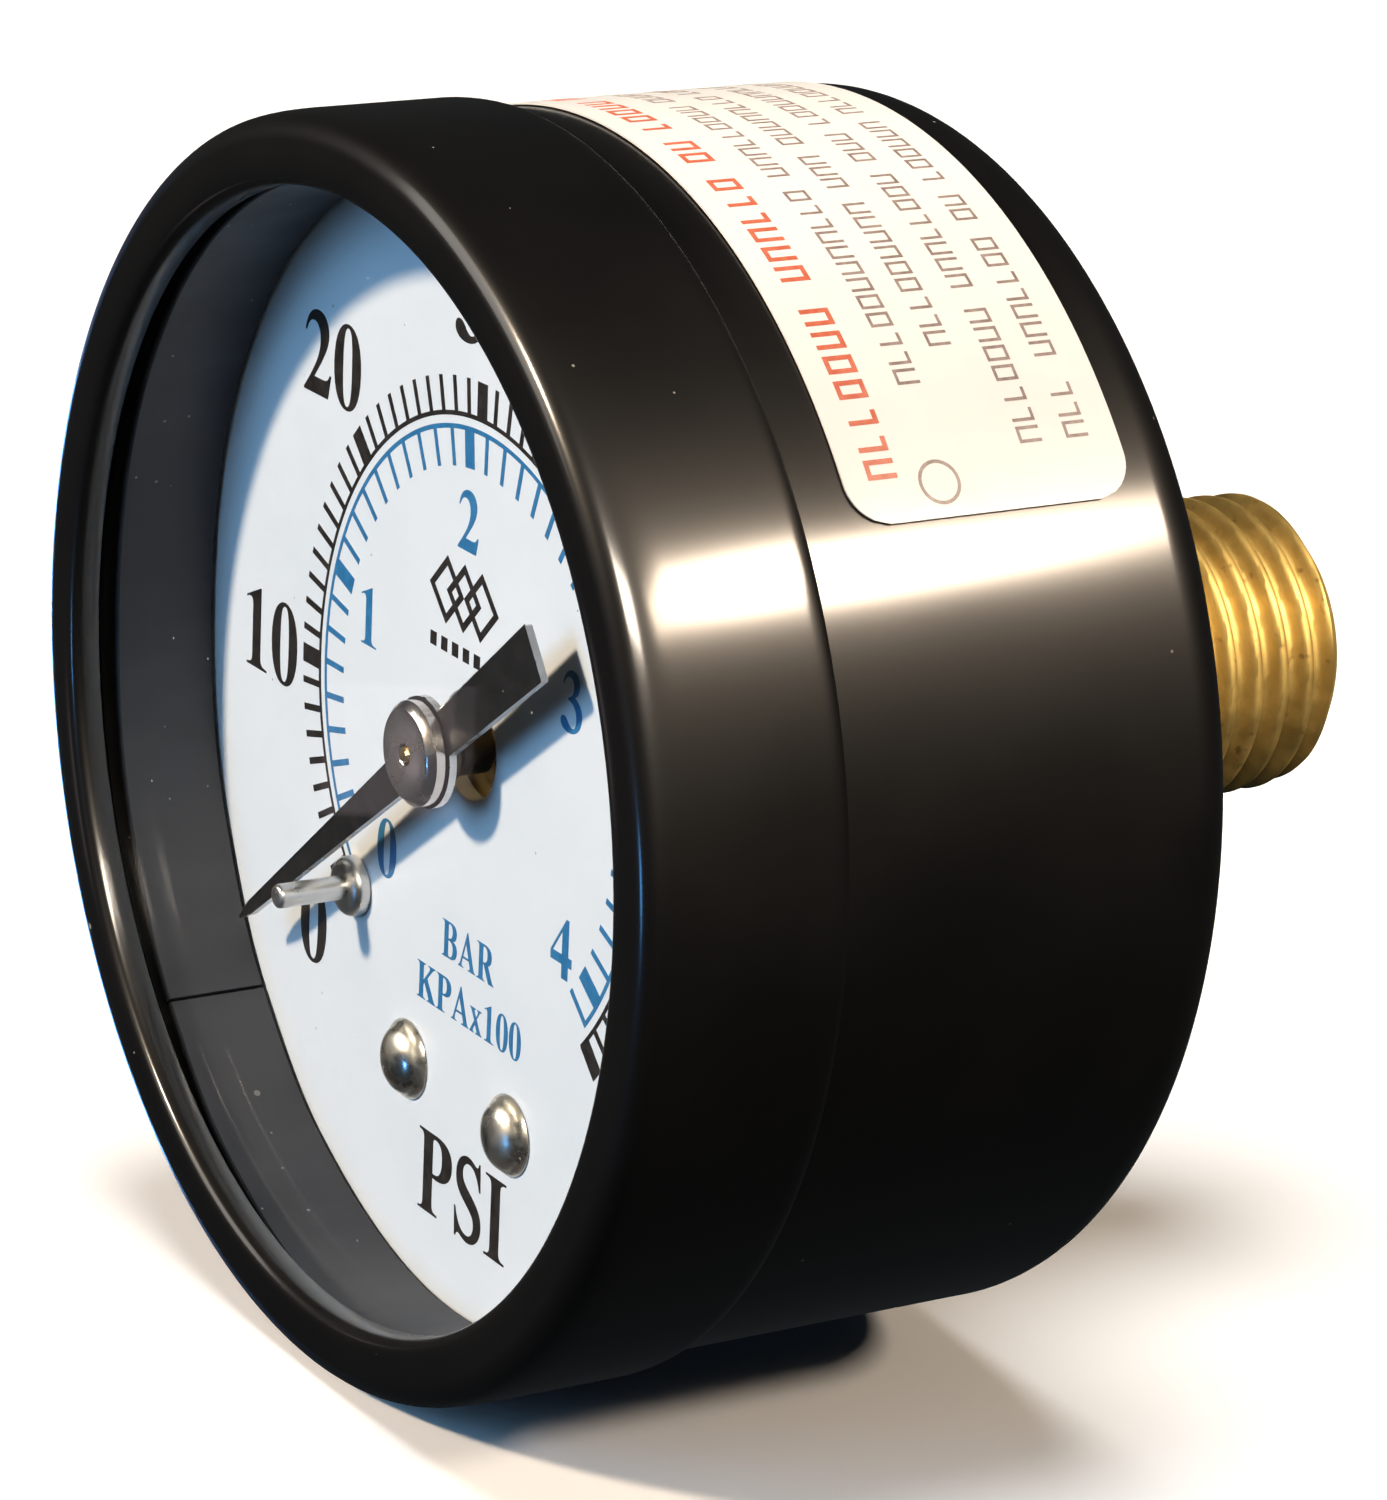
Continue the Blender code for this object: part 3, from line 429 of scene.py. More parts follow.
def paper_finish():
    """Warm white gloss label stock."""
    f = Finish("label_stock", Specular_IOR_Level=0.45, Coat_Weight=0.3, Coat_Roughness=0.2)
    f.colour(f.mix(f.span(f.noise(200, 4), 0.3, 0.7), (0.70, 0.68, 0.64), (0.73, 0.71, 0.67)))
    f.roughness(f.span(f.noise(1500, 3), 0.3, 0.7, 0.4, 0.52))
    f.bump(f.noise(1200, 3), 0.003, 0.3)
    return f.material


PAINT = paint_finish()
GLASS = window_finish()
SPACER = spacer_finish()
ENAMEL = enamel_finish()
BLACK_INK = ink_finish("ink_black", (0.012, 0.009, 0.008), (0.03, 0.024, 0.022))
BLUE_INK = ink_finish("ink_blue", (0.02, 0.15, 0.33), (0.035, 0.20, 0.41))
NICKEL = metal_finish("nickel_plate", (0.64, 0.59, 0.56), (0.46, 0.41, 0.37), 0.22)
DULL_NICKEL = metal_finish("dull_nickel", (0.72, 0.68, 0.61), (0.52, 0.47, 0.38), 0.30)
PIN_NICKEL = metal_finish("pin_nickel", (0.68, 0.67, 0.66), (0.50, 0.48, 0.45), 0.33)
POINTER_PAINT = pointer_finish()
BARE_EDGE = metal_finish("bare_edge", (0.62, 0.62, 0.62), (0.3, 0.29, 0.28), 0.3, 1500)
BRASS = brass_finish()
# Painted shade: the bush's brass is made near-black to stand for the shade inside the dial's
# centre hole, where the bush sits.
BUSH_BRASS_PAINTED_SHADE = metal_finish("bush_brass_painted_shade", (0.10, 0.075, 0.05), (0.05, 0.035, 0.025), 0.35, 1200)
PLAIN_BRASS = metal_finish("movement_brass", (0.75, 0.55, 0.24), (0.5, 0.33, 0.12), 0.26)
BRONZE = metal_finish("tube_bronze", (0.62, 0.4, 0.24), (0.36, 0.2, 0.1), 0.32, 700)
SPRING = metal_finish("spring_bronze_strip", (0.68, 0.48, 0.28), (0.4, 0.26, 0.13), 0.24, 1200)
STEEL = metal_finish("screw_steel_zinc", (0.52, 0.52, 0.51), (0.3, 0.29, 0.27), 0.3, 1000)
PAPER = paper_finish()
LABEL_ORANGE = ink_finish("label_orange", (0.50, 0.10, 0.05), (0.58, 0.15, 0.08))
LABEL_GREY = ink_finish("label_grey", (0.20, 0.14, 0.12), (0.32, 0.24, 0.21))


# ---- Housing


def make_bezel():
    """Pressed ring: skirt, rolled front edge, crowned face and a lip turned in to the window."""
    bend_start, bend_pull, bend_end = (BEZEL_RADIUS, 2.6), (BEZEL_RADIUS, 1.217), (26.83, 0.75)
    crest_centre, crest_roll = (25.787, 1.13), 1.11
    crown_pull, crown_end = (25.0, -0.02), (OPENING_RADIUS + 0.6, 0.04)
    outside = curve_through(bend_start, bend_pull, bend_end, 8)[:-1]
    outside += corner(*crest_centre, crest_roll, -20, -90, 14)
    outside += curve_through(outside[-1], crown_pull, crown_end, 8)[1:]
    outside += curve_through(crown_end, (OPENING_RADIUS, 0.1), (OPENING_RADIUS, 0.7), 10)[1:]
    wall = OPENING_RADIUS + BEZEL_SHEET
    inside = [(OPENING_RADIUS, LIP_REAR - 0.08), (OPENING_RADIUS + 0.08, LIP_REAR)]
    inside += [(wall, LIP_REAR), (wall, BEZEL_SHEET + 0.2), (wall + 0.2, BEZEL_SHEET + 0.04)]
    inside += corner(BEZEL_RADIUS - BEZEL_ROLL, BEZEL_ROLL + 0.04, BEZEL_ROLL - BEZEL_SHEET,
                     -90, 0, 8)
    inner = BEZEL_RADIUS - BEZEL_SHEET
    skirt = [(inner, BEZEL_REAR - 0.1), (inner + 0.03, BEZEL_REAR)]
    skirt += curve_through((inner + 0.08, BEZEL_REAR), (BEZEL_RADIUS - 0.02, BEZEL_REAR - 0.04),
                           (BEZEL_RADIUS, BEZEL_REAR - 0.95), 10)
    mesh = turned(outside + inside + skirt, ROUND)
    piece("bezel_shell", mesh, [PAINT], "housing", ["bezel_ring"], 50)


def make_case():
    """Drawn cup with a rounded rear corner, a hole for the socket and two screw holes."""
    middle, depth = CASE_RADIUS - CASE_CORNER, CASE_REAR - CASE_CORNER
    outside = [(CASE_RADIUS, CASE_FRONT)] + corner(middle, depth, CASE_CORNER, 0, 90, 14)
    outside += [(CASE_HOLE + 0.1, CASE_REAR), (CASE_HOLE, CASE_REAR - 0.1)]
    inside = [(CASE_HOLE, CASE_REAR - CASE_SHEET)]
    inside += corner(middle, depth, CASE_CORNER - CASE_SHEET, 90, 0, 8)
    inside += [(CASE_RADIUS - CASE_SHEET, CASE_FRONT)]
    case = piece("case_shell", turned(outside + inside, ROUND), [PAINT], "housing",
                 ["case"], 50)
    for side in (-1, 1):
        drill(case, (side * CASE_SCREW_OFFSET, 0), CASE_SCREW_HOLE, CASE_REAR - 2, CASE_REAR + 2)


def make_case_screws():
    """Round-headed screws with a straight slot, put in from behind."""
    seat, tip, shank, head = CASE_REAR + 0.15, 22.0, 1.15, 1.9
    profile = [(0, tip), (shank, tip), (shank, seat), (1.85, seat), (head, seat + 0.05)]
    profile += curve_through((head, seat + 0.6), (1.75, seat + 1.15), (0.0, seat + 1.3), 8)
    slot = [(-2.2, -0.25), (2.2, -0.25), (2.2, 0.25), (-2.2, 0.25)]
    for name, side in (("case_screw_left", -1), ("case_screw_right", 1)):
        centre = (side * CASE_SCREW_OFFSET, 0.0)
        screw = piece(name + "_turned", turned(profile, HOLE_ROUND, centre), [STEEL], "housing",
                      [name])
        cut(screw, prism([[(centre[0] + x, z) for x, z in slot]], seat + 0.7, seat + 2))


def make_window():
    """Flat pane with its edges slightly broken."""
    r, edge = WINDOW_RADIUS, 0.12
    profile = [(0, WINDOW_FRONT), (r - edge, WINDOW_FRONT), (r, WINDOW_FRONT + edge)]
    profile += [(r, WINDOW_REAR - edge), (r - edge, WINDOW_REAR), (0, WINDOW_REAR)]
    piece("window_pane", turned(profile, ROUND), [GLASS], "housing", ["window"])


def spacer_radius(angle):
    """Inner radius of the strip, which bows between the few places where it touches the case."""
    stops = sorted(SPACER_BOW)
    low, high = next(pair for pair in zip(stops, stops[1:]) if angle <= pair[1])
    t = (angle - low) / (high - low)
    t = t * t * (3 - 2 * t)
    return SPACER_BOW[low] * (1 - t) + SPACER_BOW[high] * t


def make_spacer():
    """Thin springy strip bent into a loose ring, with a butt joint and slightly rounded edges."""
    start = SPACER_JOINT + SPACER_JOINT_GAP / 2
    end = SPACER_JOINT + 360 - SPACER_JOINT_GAP / 2
    edge = 0.08
    section = [(0, SPACER_FRONT + edge), (edge, SPACER_FRONT), (SPACER_THICK, SPACER_FRONT)]
    section += [(SPACER_THICK, SPACER_REAR), (edge, SPACER_REAR), (0, SPACER_REAR - edge)]
    mesh = bmesh.new()
    rows = []
    for i in range(ROUND + 1):
        angle = start + (end - start) * i / ROUND
        rows.append([mesh.verts.new(place_round(spacer_radius(angle) + outward, angle, depth))
                     for outward, depth in section])
    sweep(mesh, rows)
    piece("spacer_strip", mesh, [SPACER], "housing", ["spacer_ring"])


# ---- Lettering: outlines of figures in thousandths of the type size

GLYPHS = {
    "0": (500, "M250 688C112 688 24 555 24 338C24 118 110 -13 250 -13C390 -13 476 118 476 338"
          "C476 555 388 688 250 688Z M250 655C308 655 326 560 326 338C326 118 308 20 250 20"
          "C192 20 174 118 174 338C174 560 192 655 250 655Z"),
    "1": (500, "M441 0L85 0L85 20C162 24 180 40 180 110L180 500C180 560 166 582 130 582"
          "C112 582 94 576 70 562L65 580L310 688L324 688L324 110C324 40 345 24 441 20Z"),
    "2": (500, "M478 192L430 0L17 0L17 18C130 140 200 225 242 300C270 356 284 400 284 450"
          "C284 530 240 590 172 590C115 590 74 556 44 486L24 492C52 620 130 688 240 688"
          "C350 688 428 612 428 512C428 420 360 330 190 138L330 138C400 138 425 150 452 200Z"),
    "3": (500, "M44 510C80 630 150 688 244 688C336 688 400 630 400 546C400 480 368 436 306 402"
          "C410 370 468 300 468 212C468 80 360 -14 200 -14C96 -14 16 26 16 92"
          "C16 128 44 152 82 152C112 152 140 138 172 104C206 68 236 50 264 50"
          "C320 50 350 98 350 164C350 262 290 334 160 350L160 368C240 390 280 440 280 506"
          "C280 566 244 604 188 604C136 604 98 572 64 504Z"),
    "4": (500, "M476 160L400 160L400 0L262 0L262 160L19 160L19 262L340 688L400 688L400 270"
          "L476 270Z M262 270L262 530L68 270Z"),
    "5": (500, "M470 676L424 552L198 552L168 480C240 466 300 444 350 406C410 360 440 300 440 226"
          "C440 90 330 -8 172 -8C82 -8 22 28 22 84C22 118 48 144 84 144C112 144 140 130 180 96"
          "C212 68 232 58 256 58C300 58 326 90 326 144C326 250 240 330 60 350L178 676Z"),
    "6": (500, "M458 688L460 668C320 632 222 540 192 408C224 428 252 436 288 436"
          "C400 436 475 350 475 220C475 82 380 -13 250 -13C116 -13 28 92 28 256"
          "C28 480 190 660 458 688Z M180 330C176 300 174 270 174 230C174 96 204 22 252 22"
          "C300 22 324 80 324 190C324 310 298 378 244 378C216 378 198 364 180 330Z"),
    "A": (722, "M9 19C60 26 76 44 110 120L352 690L376 690L600 130C640 34 654 24 689 19L689 0"
          "L404 0L404 19C460 20 478 28 478 54C478 70 474 86 460 120L436 178L192 178L166 116"
          "C154 88 150 70 150 56C150 30 168 20 228 19L228 0L9 0Z M208 218L420 218L314 476Z"),
    "B": (667, "M16 676L16 657C84 653 102 640 102 580L102 98C102 36 84 22 16 19L16 0L340 0"
          "C500 0 619 60 619 188C619 282 556 332 450 350C540 372 594 424 594 510"
          "C594 618 500 676 340 676Z M262 596C262 630 274 640 308 640C390 640 430 600 430 510"
          "C430 416 382 370 262 368Z M262 332C400 330 450 284 450 186C450 90 406 36 324 36"
          "C278 36 262 50 262 92Z"),
    "I": (389, "M20 676L20 657C100 653 118 640 118 580L118 98C118 36 100 22 20 19L20 0L370 0"
          "L370 19C292 22 272 36 272 98L272 580C272 640 292 654 370 657L370 676Z"),
    "K": (778, "M30 676L30 657C98 653 116 640 116 580L116 98C116 36 98 22 30 19L30 0L360 0"
          "L360 19C294 22 276 36 276 98L276 270L322 316L470 102C484 82 490 66 490 52"
          "C490 30 472 20 424 19L424 0L769 0L769 19C730 24 712 40 660 112L430 420L580 566"
          "C640 626 674 648 736 657L736 676L454 676L454 657C500 656 520 646 520 624"
          "C520 604 504 582 464 542L276 354L276 580C276 640 294 654 360 657L360 676Z"),
    "P": (611, "M16 676L16 657C84 653 100 640 100 580L100 98C100 34 84 22 16 19L16 0L356 0"
          "L356 19C280 22 260 36 260 96L260 310L330 308C500 308 600 380 600 498"
          "C600 614 506 676 330 676Z M260 590C260 628 272 640 306 640C384 640 424 590 424 496"
          "C424 396 380 346 292 346L260 346Z"),
    "R": (722, "M26 676L26 657C94 653 112 640 112 580L112 98C112 36 94 22 26 19L26 0L350 0"
          "L350 19C288 22 272 36 272 98L272 310L304 310L500 0L715 0L715 19C680 24 662 38 634 78"
          "L476 320C566 344 612 404 612 490C612 616 520 676 334 676Z M272 596"
          "C272 628 284 640 312 640C402 640 448 596 448 500C448 392 400 346 272 346Z"),
    "S": (556, "M480 692L458 692C452 664 440 652 420 652C408 652 394 656 370 666"
          "C330 684 296 692 262 692C150 692 66 612 66 504C66 412 110 360 250 288"
          "C350 236 384 204 384 150C384 84 336 38 266 38C168 38 98 110 68 226L46 226L60 -19"
          "L82 -19C90 6 102 18 122 18C134 18 150 14 176 4C220 -12 252 -19 288 -19"
          "C414 -19 513 66 513 176C513 262 456 328 320 396C216 448 180 484 180 536"
          "C180 592 224 634 284 634C370 634 430 576 470 462L492 462Z"),
    "x": (500, "M12 461L12 442C44 438 60 424 90 382L190 236L84 100C40 42 30 28 12 19L12 0"
          "L176 0L176 19C150 20 140 26 140 42C140 56 146 68 172 104L218 166L268 92"
          "C282 70 288 56 288 44C288 28 276 20 244 19L244 0L484 0L484 19C452 24 440 34 410 80"
          "L280 274L364 386C394 426 414 438 460 442L460 461L284 461L284 442"
          "C312 440 322 432 322 418C322 406 314 388 296 364L252 306L212 366"
          "C198 388 192 402 192 414C192 432 204 440 234 442L234 461Z"),
}
CAPITAL = 680.0  # height of a capital in the same unit


def outline_loops(path, steps=7):
    """The loops of points that an outline describes. M moves, L is a line, C a cubic, Z closes."""
    loops = []
    for outline in path.split("Z")[:-1]:
        points = []
        for command, words in re.findall("([MLC])([^MLC]+)", outline):
            numbers = [float(word) for word in words.split()]
            ends = list(zip(numbers[0::2], numbers[1::2]))
            if command != "C":
                points += ends
                continue
            corners = [points[-1]] + ends
            for i in range(1, steps + 1):
                t = i / steps
                weights = ((1 - t) ** 3, 3 * t * (1 - t) ** 2, 3 * t * t * (1 - t), t**3)
                points.append(tuple(sum(w * p[k] for w, p in zip(weights, corners))
                                    for k in (0, 1)))
        loops.append(points[:-1] if points[0] == points[-1] else points)
    return loops


def write(mesh, text, centre, height, material, narrow=1.0):
    """Print a word centred on a point of the dial, with capitals of the given height."""
    unit = height / CAPITAL
    width = sum(GLYPHS[letter][0] for letter in text) * unit * narrow
    across = centre[0] - width / 2
    for letter in text:
        advance, path = GLYPHS[letter]
        placed = [[(across + x * unit * narrow, centre[1] - height / 2 + y * unit)
                   for x, y in loop] for loop in outline_loops(path)]
        prism(placed, INK_FRONT, INK_BACK, mesh, material)
        across += advance * unit * narrow


# ---- Dial


def tick(mesh, angle, inner, outer, width, material):
    """One mark of a scale, a bar along a radius."""
    along, across = polar(1, angle), polar(1, angle + 90)
    corners = [tuple(PRINT_CENTRE[k] + along[k] * radius + across[k] * side * width / 2
                     for k in (0, 1))
               for radius, side in ((inner, -1), (outer, -1), (outer, 1), (inner, 1))]
    prism([corners], INK_FRONT, INK_BACK, mesh, material)


def ring_line(mesh, radius, start, end, material):
    """The thin arc that a scale's marks stand on, a trace lower than the marks."""
    outline = arc(radius + ARC_WIDTH / 2, start, end, 150, PRINT_CENTRE)
    outline += arc(radius - ARC_WIDTH / 2, end, start, 150, PRINT_CENTRE)
    prism([outline], INK_FRONT + 0.001, INK_BACK, mesh, material)


def psi_angle(value):
    return SCALE_START - DEGREES_PER_PSI * value


def bar_angle(value):
    return SCALE_START - DEGREES_PER_BAR * value


def print_scales(mesh):
    """Both scales. Neither has a mark at zero, where the stop pin's collar stands."""
    for psi in range(1, 61):
        width = BLACK_MAJOR if psi % 10 == 0 else BLACK_MINOR
        tick(mesh, psi_angle(psi), BLACK_ARC, BLACK_TICK, width, BLACK)
    for tenth in range(2, 42):
        width = BLUE_MAJOR if tenth % 10 == 0 else BLUE_MINOR
        tick(mesh, bar_angle(tenth / 10), BLUE_TICK, BLUE_ARC, width, BLUE)
    ring_line(mesh, BLACK_ARC, psi_angle(60) - 1.6, psi_angle(0) + 1.6, BLACK)
    ring_line(mesh, BLUE_ARC, bar_angle(4.1) - 0.6, bar_angle(0) + 1.6, BLUE)


def print_figures(mesh):
    """The figures of both scales and the names of their units."""
    figures = {0: (-13.5, -12.2), 10: (-18.3, -0.35), 20: (-13.05, 13.5), 30: (0.35, 19.0),
               40: (14.3, 13.5), 50: (19.15, -0.35), 60: (14.9, -12.2)}
    for psi, (x, z) in figures.items():
        write(mesh, str(psi), (x, z), PSI_FIGURE, BLACK)
    figures = {0: (-6.9, -6.7), 1: (-9.15, 3.1), 2: (-0.6, 9.6), 3: (8.5, 4.4), 4: (8.4, -6.2)}
    for bar, (x, z) in figures.items():
        write(mesh, str(bar), (x, z), BAR_FIGURE, BLUE)
    write(mesh, "BAR", (0.55, -9.0), SMALL_TYPE, BLUE, 0.9)
    write(mesh, "KPAx100", (0.75, -11.55), SMALL_TYPE, BLUE, 0.93)
    write(mesh, "PSI", (0.7, -20.0), LARGE_TYPE, BLACK, 0.92)


def print_mark(mesh):
    """A plain ornament of three linked squares over a row of short bars."""
    spacing, outer, inner, height = 1.5, 1.5, 1.05, 6.2
    for i in range(3):
        centre = (-2.3 + spacing * i, height)
        square = [arc(radius, 0, 270, 3, centre) for radius in (outer, inner)]
        prism(square, INK_FRONT - 0.001 * i, INK_BACK, mesh, BLACK)
    pitch, long, low, high = 0.95, 0.55, 3.5, 4.1
    for i in range(5):
        left = -3.6 + pitch * i
        bar = [(left, low), (left + long, low), (left + long, high), (left, high)]
        prism([bar], INK_FRONT, INK_BACK, mesh, BLACK)


def make_dial():
    """Enamelled disc with its holes, and the print as thin closed solids on its face."""
    edge, bore = 0.06, DIAL_HOLE
    profile = [(bore, DIAL_FRONT + edge), (bore + edge, DIAL_FRONT)]
    profile += [(DIAL_RADIUS - edge, DIAL_FRONT), (DIAL_RADIUS, DIAL_FRONT + edge)]
    profile += [(DIAL_RADIUS, DIAL_REAR), (bore, DIAL_REAR)]
    dial = piece("dial_face", turned(profile, ROUND), [ENAMEL, BLACK_INK, BLUE_INK], "housing",
                 ["dial"])
    holes = [(centre, DIAL_SCREW_HOLE) for centre in DIAL_SCREWS.values()]
    for centre, radius in holes + [(STOP_PIN, PIN_HOLE)]:
        drill(dial, centre, radius, DIAL_FRONT - 1, DIAL_REAR + 1)
    mesh = bmesh.new()
    mesh.from_mesh(dial.data)
    print_scales(mesh)
    print_figures(mesh)
    print_mark(mesh)
    bmesh.ops.recalc_face_normals(mesh, faces=mesh.faces)
    mesh.to_mesh(dial.data)
    mesh.free()


def make_dial_screws():
    """Domed screws without a slot, each with a thin rim against the dial."""
    base, tip, shank = DIAL_FRONT - 0.05, 9.2, 0.95
    dome = curve_through((0.0, base - 0.99), (1.2, base - 0.95), (1.54, base - 0.32), 12)
    rim = [(1.6, base - 0.26), (1.78, base - 0.05), (1.79, base)]
    profile = dome + rim + [(shank, base), (shank, tip), (0, tip)]
    for name, centre in DIAL_SCREWS.items():
        piece(name + "_dome", turned(profile, SMALL_ROUND, centre), [DULL_NICKEL], "housing",
              [name], 50)


def make_stop_pin():
    """Pin with a bevelled collar against the dial and a chamfered end."""
    base, r, front, collar = DIAL_FRONT - 0.05, PIN_RADIUS, PIN_FRONT, COLLAR_RADIUS
    step = base - 0.74
    profile = [(0, front), (r - 0.2, front + 0.02)]
    profile += curve_through((r - 0.15, front + 0.03), (r, front + 0.06), (r, front + 0.25), 4)
    profile += [(r, step), (0.96, step)]
    profile += curve_through((1.0, base - 0.73), (1.25, base - 0.66), (1.33, base - 0.42), 6)
    profile += [(collar, base - 0.36), (collar, base), (r, base), (r, DIAL_REAR), (0, DIAL_REAR)]
    piece("stop_pin_turned", turned(profile, HOLE_ROUND, STOP_PIN), [PIN_NICKEL], "housing",
          ["stop_pin"], 40)


# ---- Pointer


def pointer_outline():
    """Tip, taper, round boss and flared square tail as one loop, along +X before turning."""
    tip, tail, boss = 20.8, -11.3, 2.38
    blade_half, tail_half = 0.86, 1.0  # half the widths where they leave the boss
    upper = [(tip, 0.05), (19.6, 0.3), (9.3, 0.63), (3.0, 0.84)]
    start = math.degrees(math.asin(blade_half / boss))
    end = 180 - math.degrees(math.asin(tail_half / boss))
    upper += arc(boss, start, end, 24)
    upper += [(-11.22, 1.26), (tail, 1.18)]
    return upper + [(x, -z) for x, z in reversed(upper)]


def make_pointer():
    """Stamped blade, painted on its flat faces and bare round its slightly broken front edge."""
    turn = math.radians(POINTER_ANGLE)
    outline = [(x * math.cos(turn) - z * math.sin(turn), x * math.sin(turn) + z * math.cos(turn))
               for x, z in pointer_outline()]
    bore = arc(POINTER_BORE, 0, 345, 23)
    mesh = prism([outline, bore], POINTER_FRONT, POINTER_REAR)
    bmesh.ops.dissolve_limit(mesh, angle_limit=0.01, verts=mesh.verts, edges=mesh.edges)
    front, tolerance = (POINTER_FRONT - OVERALL_DEPTH) * MM, 1e-7
    rim = []
    for edge in mesh.edges:
        level = all(abs(vert.co.y - front) < tolerance for vert in edge.verts)
        if level and edge.calc_face_angle(0) > 1:
            rim.append(edge)
    bmesh.ops.bevel(mesh, geom=rim, offset=0.035 * MM, segments=2, affect="EDGES")
    mesh.normal_update()
    for face in mesh.faces:
        face.material_index = 0 if abs(face.normal.y) > 0.98 else 1
    piece("pointer_blade", mesh, [POINTER_PAINT, BARE_EDGE], "pointer_assembly",
          ["pointer"])


def make_knob():
    """Flat cap with a rounded shoulder, a chamfer and a straight side."""
    front, back, flat, rim = 4.05, POINTER_FRONT - 0.05, 1.82, 2.25
    profile = [(POINTER_BORE, front + 0.04), (0.5, front), (flat, front)]
    profile += curve_through((1.86, front + 0.005), (1.92, front + 0.01), (1.98, front + 0.06), 3)
    profile += [(2.2, front + 0.27), (rim, front + 0.34), (rim, back - 0.12), (2.18, back)]
    profile += [(POINTER_BORE, back)]
    piece("pointer_knob_turned", turned(profile), [NICKEL], "pointer_assembly",
          ["pointer_knob"])


def make_bush():
    """Boss with a flange behind the pointer, down into the hole of the dial."""
    front, flange, barrel, rear = POINTER_REAR + 0.05, 1.5, 1.2, 7.7
    profile = [(POINTER_BORE, front), (flange, front), (flange, 5.95), (barrel, 6.3)]
    profile += [(barrel, rear), (POINTER_BORE, rear)]
    # The bush's near-black finish is painted shade of the dial's centre hole.
    piece("pointer_bush_turned", turned(profile), [BUSH_BRASS_PAINTED_SHADE], "pointer_assembly",
          ["pointer_bush"])


# ---- Label

# Each row of marks: its depth, the height, width and stroke of a mark, the first and the last
# angle, the material number of the ink, and how many marks each word has.
LABEL_ROWS = [(12.75, 1.35, 0.85, 0.22, 38.0, 141, 1, (7, 6, 2, 5, 3, 4)),
              (15.6, 1.05, 0.72, 0.14, 46.5, 140, 2, (12, 9, 4, 7, 3)),
              (17.75, 1.05, 0.72, 0.14, 50.0, 140, 2, (9, 3, 8, 4, 7)),
              (20.1, 1.05, 0.72, 0.14, 39.8, 140, 2, (7, 8, 3, 10, 5)),
              (22.3, 1.05, 0.72, 0.14, 39.8, 140, 2, (3, 7, 2, 6, 8))]


def curved_patch(mesh, angle_from, angle_to, front_of, back_of, inner, outer, material, steps):
    """A thin closed sheet on the case between two angles, with its front and back edges."""
    rows = []
    for i in range(steps + 1):
        angle = angle_from + (angle_to - angle_from) * i / steps
        front, back = front_of(angle), back_of(angle)
        corners = [(inner, front), (outer, front), (outer, back), (inner, back)]
        rows.append([mesh.verts.new(place_round(radius, angle, depth))
                     for radius, depth in corners])
    sweep(mesh, rows, material=material)


def label_inset(angle):
    """How far the label's edge is rounded away at an angle."""
    from_end = min(angle - LABEL_SPAN[0], LABEL_SPAN[1] - angle) * PER_DEGREE
    missing = max(LABEL_CORNER - from_end, 0.0)
    return LABEL_CORNER - math.sqrt(max(LABEL_CORNER**2 - missing**2, 0.0))


def dummy_letter(mesh, angle, depth, width, height, stroke, kind, material):
    """A letter-like mark that spells nothing: two to four bars that join at right angles."""

    def bar(across, along, broad, tall):
        first = angle + across / PER_DEGREE
        curved_patch(mesh, first, first + broad / PER_DEGREE, lambda a: depth + along,
                     lambda a: depth + along + tall, MARK_INNER, MARK_OUTER, material, 2)

    bar(0.0, 0.0, stroke, height)
    if kind != 3:
        bar(width - stroke, 0.0, stroke, height)
    if kind in (0, 2):
        bar(stroke, 0.0, width - 2 * stroke, stroke)
    if kind in (1, 2, 3):
        bar(stroke, height - stroke, width - 2 * stroke, stroke)


def ring_mark(mesh, angle, depth, outer, inner, material):
    """A small printed ring, made as a thin closed band."""
    section = ((inner, MARK_INNER), (outer, MARK_INNER), (outer, MARK_OUTER), (inner, MARK_OUTER))
    rows = []
    for x, z in arc(1.0, 0, 345, 23):
        at = [(level, angle + x * size / PER_DEGREE, depth + z * size) for size, level in section]
        rows.append([mesh.verts.new(place_round(*point)) for point in at])
    sweep(mesh, rows, closed=True, material=material)


def mark_row(mesh, depth, height, width, stroke, start, end, material, words):
    """One row of marks, with a gap after each word."""
    step = (width + stroke * 1.5) / PER_DEGREE
    angle, word, count = start, 0, 0
    while angle + step < end:
        kind = (count * 3 + count // 2 + word) % 4
        dummy_letter(mesh, angle, depth, width, height, stroke, kind, material)
        angle += step
        count += 1
        if count == words[word % len(words)]:
            angle += step
            word, count = word + 1, 0


def make_label():
    """A wrapped label. Its words are left out: marks that spell nothing stand in their place."""
    mesh = bmesh.new()
    curved_patch(mesh, LABEL_SPAN[0] + 0.02, LABEL_SPAN[1] - 0.02,
                 lambda a: LABEL_FRONT + label_inset(a), lambda a: LABEL_REAR - label_inset(a),
                 LABEL_INNER, LABEL_OUTER, 0, 224)
    for row in LABEL_ROWS:
        mark_row(mesh, *row)
    ring_mark(mesh, 37.2, 15.9, 0.95, 0.8, 2)
    piece("label_wrap", mesh, [PAPER, LABEL_ORANGE, LABEL_GREY], "housing",
          ["label"], 50)


# ---- Bourdon tube and socket


def make_bourdon_tube():
    """Flattened tube bent to a C. Its root stays put and its free end turns with the tip."""
    half = (TUBE_WIDE - TUBE_THICK) / 2
    section = [(across, half + along) for across, along in arc(TUBE_THICK / 2, 0, 180, 10)]
    section += [(-across, -along) for across, along in section]
    mesh, rows, steps = bmesh.new(), [], 160
    for i in range(steps + 1):
        angle = TUBE_ROOT + (TUBE_END - TUBE_ROOT) * i / steps
        rows.append([mesh.verts.new(place_round(TUBE_RADIUS + across, angle, TUBE_MIDDLE + along))
                     for across, along in section])
    sweep(mesh, rows)
    tube = piece("bourdon_tube_bent", mesh, [BRONZE], None, ["bourdon_tube"])
    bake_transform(tube)


